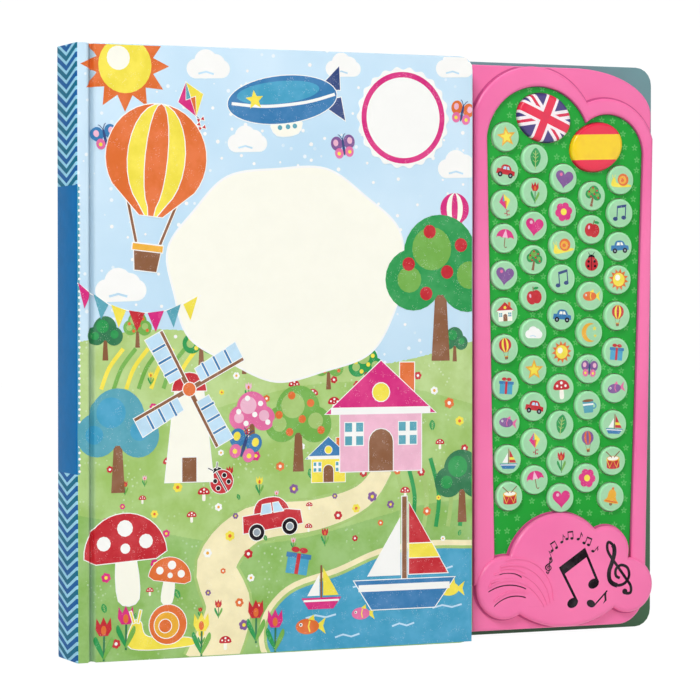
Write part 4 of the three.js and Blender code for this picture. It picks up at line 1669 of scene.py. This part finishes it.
        # The lower, darker layer reaches past the label's edge: a painted shadow line.
        for out, depth, finish in ((0.3, 7.97, p.label_shadow_line), (-0.35, 7.93, p.field)):
            outlines = [self.field(out), *[cap.rim(0.36) for cap in caps]]
            near = [body.ring(points, depth) for points in outlines]
            far = [body.ring(points, 8.0) for points in outlines]
            for a, b in zip(near, far):
                body.bridge(a, b, finish)
            body.fill(near, finish)
            body.fill(far, finish)
        attach(body.make("field_label"), node)

    def cloud_print(self, node: bpy.types.Object) -> None:
        """Adds the embossed ribs and the printed notes of the cloud."""
        ribs = Body(self.axes)
        pen = Pen(ribs, {Ink.PINK: self.palette.panel}, self.left, self.bottom, 1.0, self.cloud_front, [0.35])
        families = [
            ((17.0, 35.4), (44.0, 14.6), 8.6), ((14.0, 32.4), (42.2, 13.2), 8.0),
            ((10.5, 28.6), (40.4, 12.2), 7.2),
            ((8.4, 24.6), (38.8, 11.4), 6.4), ((13.8, 31.0), (27.4, 29.0), 1.5),
            ((7.4, 22.6), (29.4, 23.2), 2.7),
            ((10.4, 15.2), (29.0, 18.8), 2.7),
        ]
        for a, b, rise in families:
            pen.line(bulge(a, b, rise, 20), 0.75, Ink.PINK)
        attach(ribs.make("cloud_ribs", 70), node)
        notes = Body(self.axes)
        pen = Pen(notes, self.palette.inks, self.left, self.bottom, 1.0, self.cloud_front, [0.02], step=0.004)
        Score(pen).draw()
        attach(notes.make("cloud_notes"), node)


@dataclass
class Score:
    """Notes and clefs printed on the cloud, measured from the panel's lower left corner."""

    pen: Pen

    def note(self, x: float, z: float, size: float, lean: float) -> None:
        """A single note with its flag."""
        pen = self.pen.moved(x, z, size, lean)
        pen.shape(oval(0, 0, 0.34, 0.25, 20, 22), Ink.NOTE)
        pen.line([(0.28, 0.05), (0.28, 1.5)], 0.1, Ink.NOTE)
        pen.shape([(0.25, 1.5), (0.42, 1.25), (0.72, 1.0), (0.7, 0.65), (0.6, 0.92), (0.25, 1.18)], Ink.NOTE)

    def beamed(self, heads: Sequence[Point], tops: Sequence[Point], r: float) -> None:
        """Two heads joined by a beam.

        Args:
            heads: Centres of the two heads.
            tops: Upper ends of the two stems.
            r: Half a head's length.
        """
        corners = []
        for (x, z), (tx, tz) in zip(heads, tops):
            self.pen.shape(oval(x, z, r, r * 0.76, 24, 25), Ink.NOTE)
            foot = (x + r * 0.8, z + 0.5)
            self.pen.line([foot, (tx, tz)], 1.4, Ink.NOTE)
            share = 4.6 / math.dist(foot, (tx, tz))
            corners.append(((tx, tz), (tx + (foot[0] - tx) * share, tz + (foot[1] - tz) * share)))
        (a, b), (c, d) = corners
        self.pen.shape([b, d, c, a], Ink.NOTE)

    def pair(self, x: float, z: float, size: float, lean: float) -> None:
        """Two small notes under one beam."""
        pen = self.pen.moved(x, z, size, lean)
        for side in (-0.5, 0.5):
            pen.disc(side, 0, 0.32, Ink.NOTE, 0.24, 16)
            pen.line([(side + 0.26, 0.05), (side + 0.26, 1.3)], 0.1, Ink.NOTE)
        pen.line([(-0.29, 1.2), (0.81, 1.2)], 0.26, Ink.NOTE)

    def clef(self, x: float, z: float, size: float, lean: float) -> None:
        """A treble clef as one stroke with a dot."""
        pen = self.pen.moved(x, z, size, lean)
        stroke = soft_path([(-0.15, -0.22), (-0.3, 0.05), (-0.1, 0.38), (0.3, 0.4), (0.58, 0.05),
                            (0.45, -0.42),
                            (0.0, -0.65), (-0.5, -0.5), (-0.78, -0.05), (-0.6, 0.45), (-0.15, 0.85),
                            (0.25, 1.25),
                            (0.4, 1.65), (0.22, 2.02), (-0.02, 1.75), (-0.07, 1.3), (0.05, 0.5), (0.2, -0.5),
                            (0.25, -1.0), (0.05, -1.33), (-0.25, -1.2)])
        pen.line(stroke[:36], 0.17, Ink.NOTE)
        pen.line(stroke[35:62], 0.27, Ink.NOTE)
        pen.line(stroke[61:], 0.17, Ink.NOTE)
        pen.disc(-0.24, -1.08, 0.17, Ink.NOTE, sides=16)

    def draw(self) -> None:
        """Prints them all."""
        self.beamed([(54.9, 12.6), (66.9, 21.9)], [(47.6, 31.2), (61.4, 40.0)], 3.2)
        self.clef(82.3, 26.4, 8.7, 29)
        self.note(65.4, 11.8, 7.4, -46)
        places = ((42.2, 35.6, 2.6, 24), (44.4, 40.2, 2.8, 30), (48.6, 43.6, 2.6, 0), (53.0, 45.2, 2.8, 4),
                  (58.0, 44.8, 2.6, -18), (62.6, 42.2, 2.8, -22), (66.4, 38.4, 2.6, -42))
        for i, place in enumerate(places):
            (self.pair if i % 2 else self.note)(*place)
        self.clef(41.2, 31.0, 2.3, -14)


@dataclass(frozen=True)
class Cap:
    """A push button: its node, its centre and the size and turn of its oval."""

    node: str
    x: float
    z: float
    radius: float
    stretch: float = 1.0
    tilt: float = 0.0

    def rim(self, grow: float) -> list[Point]:
        """The outline of the cap, grown by a distance."""
        r = self.radius + grow
        return oval(self.x, self.z, r * self.stretch, r, 48, self.tilt)


@dataclass
class Buttons(Assembly):
    """The picture buttons and the two large flag buttons."""

    radius: float = 7.3
    flag_radius: float = 12.1
    flag_stretch: float = 1.24
    flag_tilts: tuple[float, float] = (-15.0, 20.0)

    def __post_init__(self) -> None:
        """Reads the buttons' places from the frame."""
        names = [name for name in sorted(self.kit["nodes"]) if name.startswith("button_")]
        self.caps = [Cap(name, *self.centre(name), self.radius) for name in names]
        self.flags = [
            Cap(name, *self.centre(name), self.flag_radius, self.flag_stretch, tilt)
            for name, tilt in zip(("flag_button_left", "flag_button_right"), self.flag_tilts)
        ]

    def centre(self, name: str) -> Point:
        """The middle of a node in the book's axes."""
        low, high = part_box(name)
        x, _, z = self.axes.local((low + high) / 2)
        return x, z

    def every(self) -> list[Cap]:
        """Small and large caps together."""
        return [*self.caps, *self.flags]

    def build(self) -> None:
        """Makes each button."""
        for number, cap in enumerate(self.caps):
            self.picture_cap(cap, number)
        for cap, finish in zip(self.flags, self.flag_finishes()):
            self.flag_cap(cap, finish)
        LOG.info("buttons: %d made", len(self.every()))

    def flag_finishes(self) -> list[Material]:
        """The two flag prints, turned with their caps."""
        left, right = self.flags
        places = [self.axes.world(cap.x, 0, cap.z) for cap in (left, right)]
        return [
            CrossedFlag("flag_cross", (places[0][0], places[0][2]), left.tilt - 8).build(),
            BandedFlag("flag_bands", (places[1][0], places[1][2]), right.tilt - 18,
                       hex_colour("F01C46"), hex_colour("FFD60A")).build(),
        ]

    def stand_in(self, body: Body, cap: Cap, slot: str) -> None:
        """Turns a body into the piece that stands for a button's node."""
        attach(body.make(cap.node + "_cap", 35), self.node(cap.node), True)

    def flag_cap(self, cap: Cap, finish: Material) -> None:
        """Makes an oval button."""
        body = Body(self.axes)
        r = cap.radius
        profile = [(0.01, 5.18), (r * 0.6, 5.2), (r - 1.6, 5.28), (r - 0.8, 5.5), (r - 0.25, 6.0),
                   (r, 6.8), (r, 10.3),
                   (r + 0.7, 10.3), (r + 0.7, 11.9), (0.01, 11.9)]
        body.turned(profile, cap.x, cap.z, 64, finish, cap.stretch, cap.tilt)
        self.stand_in(body, cap, "flag_plastic")

    def picture_cap(self, cap: Cap, number: int) -> None:
        """Makes a round button with its picture."""
        p = self.palette
        body = Body(self.axes)
        r = cap.radius
        profile = [(0.01, 5.8), (r - 1.1, 5.8), (r - 0.75, 5.76), (r - 0.35, 5.9), (r - 0.08, 6.25), (r, 6.8),
                   (r, 10.3), (r + 0.7, 10.3), (r + 0.7, 11.9), (0.01, 11.9)]
        body.turned(profile, cap.x, cap.z, 48, p.cap)
        pen = Pen(body, p.inks, cap.x, cap.z, 1.0, 5.8, [0.0])
        body.prism(circle(cap.x, cap.z, r - 0.95, 40), 5.77, 5.81, p.picture_ground)
        pen.height[0] = 0.03
        sway = random.Random(number).uniform(-12, 12)
        PICTURES[(number * 7 + number // 11) % len(PICTURES)](pen.moved(0, 0, 5.7, sway))
        self.stand_in(body, cap, "button_plastic")


PICTURES: list[Callable[[Pen], None]] = [
    Motifs.star, Motifs.fish, Motifs.heart, Motifs.boat, Motifs.sun, Motifs.house, Motifs.flower,
    Motifs.car, Motifs.moon, Motifs.tree, Motifs.drum, Motifs.mushroom, Motifs.balloon, Motifs.snail,
    Motifs.kite, Motifs.butterfly, Motifs.apple, Motifs.bell, Motifs.leaf, Motifs.gift, Motifs.note,
    Motifs.umbrella, Motifs.cup, Motifs.cloud, Motifs.ladybird, Motifs.tulip,
    lambda pen: Motifs.fish(pen, Ink.PURPLE, Ink.ROSE),
    lambda pen: Motifs.car(pen, Ink.BLUE, Ink.CREAM),
    lambda pen: Motifs.heart(pen, Ink.PURPLE, Ink.ROSE),
    lambda pen: Motifs.balloon(pen, Ink.PURPLE, Ink.ORANGE),
]


@dataclass
class CoverPicture(Assembly):
    """The front cover's painted scene, in millimetres from the book's lower left corner."""

    level: float = 0.035
    layer: float = 0.0012
    shift: float = 0.005
    pennant: float = 8.6

    def pen(self, x: float, z: float, scale: float, level: int = 1, tilt: float = 0.0,
            halo: float = 0.0) -> Pen:
        """A fresh pen on the cover at a level of the paint."""
        self.drawn += 1
        start = 0.02 + self.level * level + self.shift * (0.618 * self.drawn % 1)
        return Pen(self.body, self.palette.inks, x, z, scale, 0.0, [start], tilt, self.layer, self.canvas,
                   halo)

    def build(self, covers: Covers) -> None:
        """Paints the picture on the board, over the groove and on the spine's shoulder.

        Args:
            covers: Knows how the paper dips and where it bends.
        """
        low, high = covers.paper_span()
        nodes = self.kit["nodes"]
        for self.canvas in (
            Canvas("front_cover_picture", high, 205.5),
            Canvas("hinge_picture", low, high, covers.paper_steps, covers.dip_at),
            Canvas("shoulder_picture", 0.4, low),
        ):
            self.body = Body(self.axes)
            self.drawn = 0
            self.ground()
            self.sky_things()
            self.countryside()
            self.patch_and_roundel()
            self.small_things()
            obj = self.body.make(self.canvas.name)
            if self.canvas.dip:
                covers.bend(obj, 0.0, "front_cover")
            else:
                attach(obj, nodes["spine" if self.canvas.right < high else "front_cover"])

    def ground(self) -> None:
        """The pond, the path and the ploughed strips."""
        pen = self.pen(0, 0, 1.0, 0)
        pond = soft([(104, -4), (150, -6), (214, -4), (216, 40), (196, 47), (160, 45), (134, 36),
                     (108, 28), (96, 12)])
        pen.shape(moved_in(pond, -4.2), Ink.SAND)
        pen.shape(moved_in(pond, -1.5), Ink.LIME)
        pen.shape(pond, Ink.POND)
        for x, z, w in ((124, 16, 16), (150, 30, 18), (192, 18, 16), (138, 6, 13), (188, 37, 14),
                        (168, 10, 12)):
            pen.line([(x - w / 2, z), (x - w / 6, z + 1.2), (x + w / 6, z), (x + w / 2, z + 1.2)], 0.9,
                     Ink.SKY)
        path = soft_path([(66, -4), (76, 22), (70, 44), (88, 62), (122, 66), (146, 74), (158, 88)])
        for extra, ink in ((1.4, Ink.LIME), (0.0, Ink.SAND)):
            pen.shape(ribbon(path, lambda i: (26 - 17 * i / (len(path) - 1)) / 2 + extra), ink)
        for i in range(7):
            x = 166 + i * 6.6
            pen.line(soft_path([(x, 58), (x + 1.6, 74), (x - 3, 92)]), 2.2, Ink.GREEN if i % 2 else Ink.LIME)
        for i in range(7):
            x = 12 + i * 6.2
            pen.line(soft_path([(x, 128), (x + 4, 138), (x + 11, 147)]), 2.0,
                     Ink.LEAF if i % 2 else Ink.YELLOW)

    def sky_things(self) -> None:
        """Balloons, an airship, kites, clouds and bunting."""
        Motifs.sun(self.pen(24, 280, 22, 1))
        for x, z, s in ((66, 281, 13), (136, 283, 11), (198, 236, 13), (22, 176, 15), (86, 246, 12),
                        (196, 285, 12)):
            Motifs.cloud(self.pen(x, z, s, 1))
        Motifs.balloon(self.pen(38, 222, 42, 5, -6, 0.45), Ink.ORANGE, Ink.YELLOW)
        self.airship(self.pen(104, 266, 30, 4, 7, 0.4))
        Motifs.balloon(self.pen(196, 210, 13, 2), Ink.MAGENTA, Ink.CREAM)
        Motifs.kite(self.pen(58, 262, 12, 4, 18, 0.3))
        self.bunting([(0, 178), (18, 167), (40, 164), (62, 172)], 4)
        for x, z, t, ink in ((136, 244, 10, Ink.PURPLE), (200, 262, -12, Ink.ORANGE),
                             (14, 246, 14, Ink.BLUE)):
            Motifs.butterfly(self.pen(x, z, 7.5, 4, t), ink)

    def airship(self, pen: Pen) -> None:
        """A blue airship with fins and a small cabin."""
        pen.shape([(0.62, 0.1), (1.05, 0.44), (1.02, 0.06)], Ink.NAVY)
        pen.shape([(0.62, -0.1), (1.05, -0.44), (1.02, -0.06)], Ink.NAVY)
        pen.shape(soft([(-0.22, -0.34), (0.26, -0.34), (0.2, -0.56), (-0.16, -0.56)], 3), Ink.CREAM)
        pen.disc(0, 0, 0.95, Ink.BLUE, 0.38, 44)
        pen.halo = 0.0
        pen.disc(-0.06, 0.12, 0.72, Ink.POND, 0.18, 36)
        pen.line(soft_path([(-0.88, 0.02), (-0.3, -0.08), (0.4, -0.08), (0.92, 0.0)]), 0.05, Ink.WHITE)
        for x in (-0.1, 0.04, 0.16):
            pen.disc(x, -0.44, 0.04, Ink.AQUA, sides=12)
        pen.star(0.16, 0.07, 5, Ink.YELLOW, -0.48, 0.04)

    def bunting(self, line: Sequence[Point], level: int) -> None:
        """A cord of pennants through points."""
        pen = self.pen(0, 0, 1.0, level)
        path = soft_path(line, 12)
        pen.line(path, 0.5, Ink.WHITE)
        inks = [Ink.MAGENTA, Ink.AQUA, Ink.YELLOW, Ink.RED]
        start, number = path[0], 0
        for point in path:
            if math.dist(start, point) < self.pennant:
                continue
            middle = ((start[0] + point[0]) / 2, (start[1] + point[1]) / 2 - self.pennant * 1.1)
            near = 0.08 * self.pennant
            pen.shape([(start[0] + near, start[1]), middle, (point[0] - near, point[1])],
                      inks[number % len(inks)])
            start, number = point, number + 1

    def countryside(self) -> None:
        """Trees, houses, animals and the boats on the pond."""
        crowns = [(Ink.GREEN, Ink.LEAF, Ink.RED), (Ink.FOREST, Ink.GREEN, None), (Ink.AQUA, Ink.POND, None),
                  (Ink.LEAF, Ink.LIME, Ink.ORANGE), (Ink.ROSE, Ink.PINK, Ink.WHITE),
                  (Ink.GREEN, Ink.LIME, Ink.YELLOW)]
        hedge = [(14, 152, 11), (30, 156, 9), (62, 148, 12), (84, 143, 9), (128, 136, 10), (148, 136, 12),
                 (196, 148, 9)]
        for i, (x, z, s) in enumerate(hedge):
            Motifs.tree(self.pen(x, z, s, 1), *crowns[(2 * i + 1) % len(crowns)])
        for x, z, s, level, kind in ((188, 176, 38, 4, 0), (20, 104, 26, 2, 2), (112, 108, 22, 2, 3),
                                     (88, 112, 15, 2, 4), (200, 78, 19, 2, 1)):
            Motifs.tree(self.pen(x, z, s, level), *crowns[kind])
        self.windmill(self.pen(56, 116, 36, 4, 0, 0.4))
        Motifs.house(self.pen(156, 112, 32, 4, 0, 0.45), Ink.PINK, Ink.MAGENTA)
        Motifs.house(self.pen(128, 92, 13, 3, 0, 0.3), Ink.YELLOW, Ink.BLUE)
        Motifs.mushroom(self.pen(24, 50, 25, 5, 4, 0.45))
        Motifs.mushroom(self.pen(46, 38, 13, 4, -8, 0.3), Ink.ORANGE)
        Motifs.snail(self.pen(42, 16, 17, 5, 0, 0.4))
        Motifs.boat(self.pen(168, 44, 31, 5, 0, 0.45))
        Motifs.boat(self.pen(124, 30, 12, 3), Ink.YELLOW, Ink.MAGENTA)
        Motifs.car(self.pen(98, 66, 17, 5, 8, 0.4))
        Motifs.gift(self.pen(112, 44, 9, 3, -10))
        Motifs.ladybird(self.pen(72, 84, 9, 4, 30, 0.3))
        Motifs.butterfly(self.pen(84, 100, 10, 5, -18), Ink.BLUE, Ink.YELLOW)
        for x, z, s, ink in ((118, 12, 9, Ink.ORANGE), (146, 17, 7, Ink.ROSE), (194, 27, 8, Ink.YELLOW)):
            Motifs.fish(self.pen(x, z, s, 2), ink)
        for i, x in enumerate((13, 24, 62, 90, 100)):
            Motifs.tulip(self.pen(x, 11 + 5 * (i % 2), 11, 5), (Ink.RED, Ink.MAGENTA, Ink.YELLOW)[i % 3])

    def windmill(self, pen: Pen) -> None:
        """A windmill with four lattice sails."""
        pen.shape([(-0.34, -0.9), (0.34, -0.9), (0.2, 0.3), (-0.2, 0.3)], Ink.CREAM)
        pen.shape([*arc(0, 0.3, 0.24, 0, math.pi, 10)], Ink.RED)
        pen.box(-0.1, 0.1, -0.9, -0.58, Ink.BROWN)
        for i in range(4):
            sail = pen.moved(0, 0.32, 1.0, 28 + 90 * i)
            sail.line([(0, 0), (0.86, 0)], 0.06, Ink.BROWN)
            sail.shape([(0.2, 0.02), (0.86, 0.02), (0.86, 0.24), (0.2, 0.2)], Ink.SKY)
            for k in range(3):
                sail.line([(0.32 + 0.18 * k, 0.02), (0.32 + 0.18 * k, 0.22)], 0.03, Ink.BLUE)
        pen.disc(0, 0.32, 0.09, Ink.ORANGE, sides=12)

    def patch_and_roundel(self) -> None:
        """The bare title patch and the bare ring beside it."""
        pen = self.pen(0, 0, 1.0, 2)
        count = 15
        blob = []
        for i in range(count):
            a = 2 * math.pi * i / count
            swell = 1 + (0.035 if i % 2 else -0.02)
            blob.append((107.5 + 61 * swell * math.cos(a), 183 + 50.5 * swell * math.sin(a)))
        patch = soft(blob, 8)
        pen.shape(moved_in(patch, -1.0), Ink.WHITE)
        pen.shape(patch, Ink.CREAM)
        ring = self.pen(167.9, 258.9, 1.0, 6)
        scallops = [(24.2 + 0.7 * math.cos(22 * a)) for a in (2 * math.pi * k / 176 for k in range(176))]
        ring.shape([(r * math.cos(2 * math.pi * k / 176), r * math.sin(2 * math.pi * k / 176))
                    for k, r in enumerate(scallops)], Ink.WHITE)
        ring.disc(0, 0, 22.4, Ink.MAGENTA, sides=64)
        ring.disc(0, 0, 19.7, Ink.WHITE, sides=64)

    def small_things(self) -> None:
        """Flowers, mushrooms and other small motifs scattered over the hills and the sky."""
        chance = random.Random(12)
        petals = [(Ink.MAGENTA, Ink.YELLOW), (Ink.WHITE, Ink.GOLD), (Ink.ORANGE, Ink.CREAM),
                  (Ink.PURPLE, Ink.YELLOW),
                  (Ink.RED, Ink.WHITE), (Ink.YELLOW, Ink.ORANGE)]
        placed: list[tuple[float, float, float]] = []
        for _ in range(900):
            x, z = chance.uniform(13, 202), chance.uniform(5, 134)
            size = chance.uniform(1.5, 3.2)
            if any(math.hypot(x - a, z - b) < size + c + 4.5 for a, b, c in placed):
                continue
            if z < 52 and x > 92:
                continue
            placed.append((x, z, size))
            kind = chance.random()
            pen = self.pen(x, z, size, 1, chance.uniform(-30, 30))
            if kind < 0.6:
                Motifs.flower(pen, *chance.choice(petals))
            elif kind < 0.75:
                Motifs.mushroom(self.pen(x, z, size * 1.3, 1))
            elif kind < 0.9:
                Motifs.tulip(self.pen(x, z, size * 1.6, 1), chance.choice([Ink.RED, Ink.YELLOW, Ink.PINK]))
            else:
                Motifs.leaf(pen)
        for _ in range(260):
            x, z = chance.uniform(13, 202), chance.uniform(150, 284)
            if any(math.hypot(x - a, z - b) < 7 for a, b, _ in placed):
                continue
            placed.append((x, z, 1))
            self.pen(x, z, chance.uniform(0.5, 1.0), 0).disc(0, 0, 1, Ink.WHITE, sides=12)
        LOG.info("scattered motifs: %d", len(placed))


@dataclass
class PlainPrints(Assembly):
    """Printed pictures on the outermost pages and on the back, which the photo doesn't show."""

    layer: float = 0.002

    def pen(self, body: Body, depth: float, facing: int) -> Pen:
        """A pen on a face that looks forwards (1) or backwards (-1)."""
        return Pen(body, self.palette.inks, 0, 0, 1.0, depth, [0.01 * facing], step=self.layer * facing)

    def page(self, name: str, depth: float, facing: int, ground: Ink, first: int) -> None:
        """Prints a page of pictures in round frames."""
        body = Body(self.axes)
        pen = self.pen(body, depth, facing)
        pen.shape(rounded(16, 194, 12, 278, (9, 9, 9, 9)), ground)
        for row in range(5):
            for column in range(4):
                x, z = 39 + 44 * column, 40 + 52.5 * row
                pen.height[0] = 0.02 * facing
                pen.disc(x, z, 18, Ink.SAND, sides=48)
                number = first + row * 4 + column
                PICTURES[number % len(PICTURES)](pen.moved(x, z, 14))
        attach(body.make(name), self.node("page_block"))

    def build(self) -> None:
        """Makes the three prints."""
        self.page("first_page_picture", 3.3, 1, Ink.SKY, 3)
        self.page("last_page_picture", 25.7, -1, Ink.LIME, 17)
        body = Body(self.axes)
        pen = self.pen(body, self.axes.thickness, -1)
        pen.shape(rounded(34, 214, 62, 168, (24, 24, 24, 24), 14), Ink.CREAM)
        row = (Motifs.boat, Motifs.balloon, Motifs.house, Motifs.tree, Motifs.fish, Motifs.kite)
        for i, motif in enumerate(row):
            pen.height[0] = -0.02
            motif(pen.moved(40 + 48 * i, 222 + 10 * (i % 2), 19))
        for i in range(27):
            pen.height[0] = -0.02
            Motifs.flower(pen.moved(22 + 10.7 * i, 14 + 3 * (i % 2), 3.2),
                          (Ink.WHITE, Ink.MAGENTA, Ink.YELLOW)[i % 3])
        attach(body.make("back_cover_picture"), self.node("back_cover"))


class Stage:
    """Camera, lights, floor and backdrop."""

    eye = Vector((-0.59008, -1.29118, 0.17175))
    heading = Vector((0.40674, 0.91355, 0.0))
    pitch = math.radians(1.0755)
    focal = 147.94
    room = 12.0
    glow = 1.07
    ambient = 0.36

    def build(self) -> None:
        """Makes them all."""
        self.camera()
        self.surroundings()
        self.lights()
        scene = bpy.context.scene
        scene.view_settings.view_transform = "Standard"
        LOG.info("stage: made")

    def camera(self) -> None:
        """Sets the photo's camera."""
        data = bpy.data.cameras.new("photo_camera")
        data.sensor_width = 36
        data.lens = self.focal
        data.clip_start = 0.05
        data.dof.use_dof = False
        camera = placed("photo_camera", data)
        camera.location = self.eye
        aim = self.heading.normalized() * math.cos(self.pitch) - Vector((0, 0, math.sin(self.pitch)))
        camera.rotation_euler = aim.to_track_quat("-Z", "Y").to_euler()
        bpy.context.scene.camera = camera

    def surroundings(self) -> None:
        """A floor with the object's shadow under a plain white surround."""
        f = Finish("stage_white")
        path = f.nodes.new("ShaderNodeLightPath")
        seen = Wire(f, path.outputs["Is Camera Ray"]).math("MAXIMUM", Wire(f, path.outputs["Is Glossy Ray"]))
        seen = seen.math("MAXIMUM", Wire(f, path.outputs["Is Transmission Ray"]))
        paper = f.node("ShaderNodeBsdfDiffuse", inputs={"Color": (0.92, 0.92, 0.92)})
        glow = f.node("ShaderNodeEmission", inputs={"Color": (1.0, 1.0, 1.0), "Strength": self.glow})
        shader = f.node("ShaderNodeMixShader", inputs={0: seen * 0.92, 1: paper, 2: glow})
        f.node_output(shader)
        h = self.room / 2
        for name, place, turn in (
            ("stage_floor", (0.0, 0.0, -0.0004), (0.0, 0.0, 0.0)),
            ("stage_backdrop", (0.0, 4.0, 0.0), (math.pi / 2, 0.0, 0.0)),
        ):
            mesh = bpy.data.meshes.new(name)
            mesh.from_pydata([(-h, -h, 0), (h, -h, 0), (h, h, 0), (-h, h, 0)], [], [(0, 1, 2, 3)])
            mesh.materials.append(f.material)
            obj = placed(name, mesh)
            obj.location = place
            obj.rotation_euler = turn
        world = bpy.data.worlds.new("stage_world")
        world.use_nodes = True
        world.node_tree.nodes["Background"].inputs[0].default_value = (1, 1, 1, 1)
        world.node_tree.nodes["Background"].inputs[1].default_value = self.ambient
        bpy.context.scene.world = world

    def lights(self) -> None:
        """Soft lamps from the upper left, the right and above."""
        for name, place, aim, size, power in (
            ("key", (-1.3, -1.5, 2.0), (0, 0, 0.15), 0.8, 38),
            ("fill", (1.4, -1.7, 0.7), (0, 0, 0.15), 1.6, 7),
            ("top", (0.1, 0.1, 2.0), (0, 0, 0.1), 1.0, 7),
        ):
            data = bpy.data.lights.new("stage_" + name, "AREA")
            data.size = size
            data.energy = power
            lamp = placed("stage_" + name, data)
            lamp.location = place
            lamp.rotation_euler = (Vector(aim) - Vector(place)).to_track_quat("-Z", "Y").to_euler()


def dress_hidden_nodes(kit: dict[str, Any], palette: Palette) -> None:
    """Gives the nodes that are shown as they are their finishes.

    Args:
        palette: The book's finishes.
    """
    for name, finish in (("circuit_board", palette.circuit), ("speaker", palette.metal_black)):
        mesh = kit["nodes"][name].data
        mesh.materials.clear()
        mesh.materials.append(finish)


def main() -> None:
    """Builds the scene in order."""
    logging.basicConfig(level=logging.INFO, format="%(name)s: %(message)s")
    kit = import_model()
    Stage().build()
    axes = BookAxes.of_frame()
    palette = Palette(axes)
    covers = Covers(axes, palette, kit)
    covers.build()
    CoverPicture(axes, palette, kit).build(covers)
    PlainPrints(axes, palette, kit).build()
    buttons = Buttons(axes, palette, kit)
    SoundPanel(axes, palette, kit).build(buttons.every())
    buttons.build()
    dress_hidden_nodes(kit, palette)


if __name__ == "__main__":
    main()
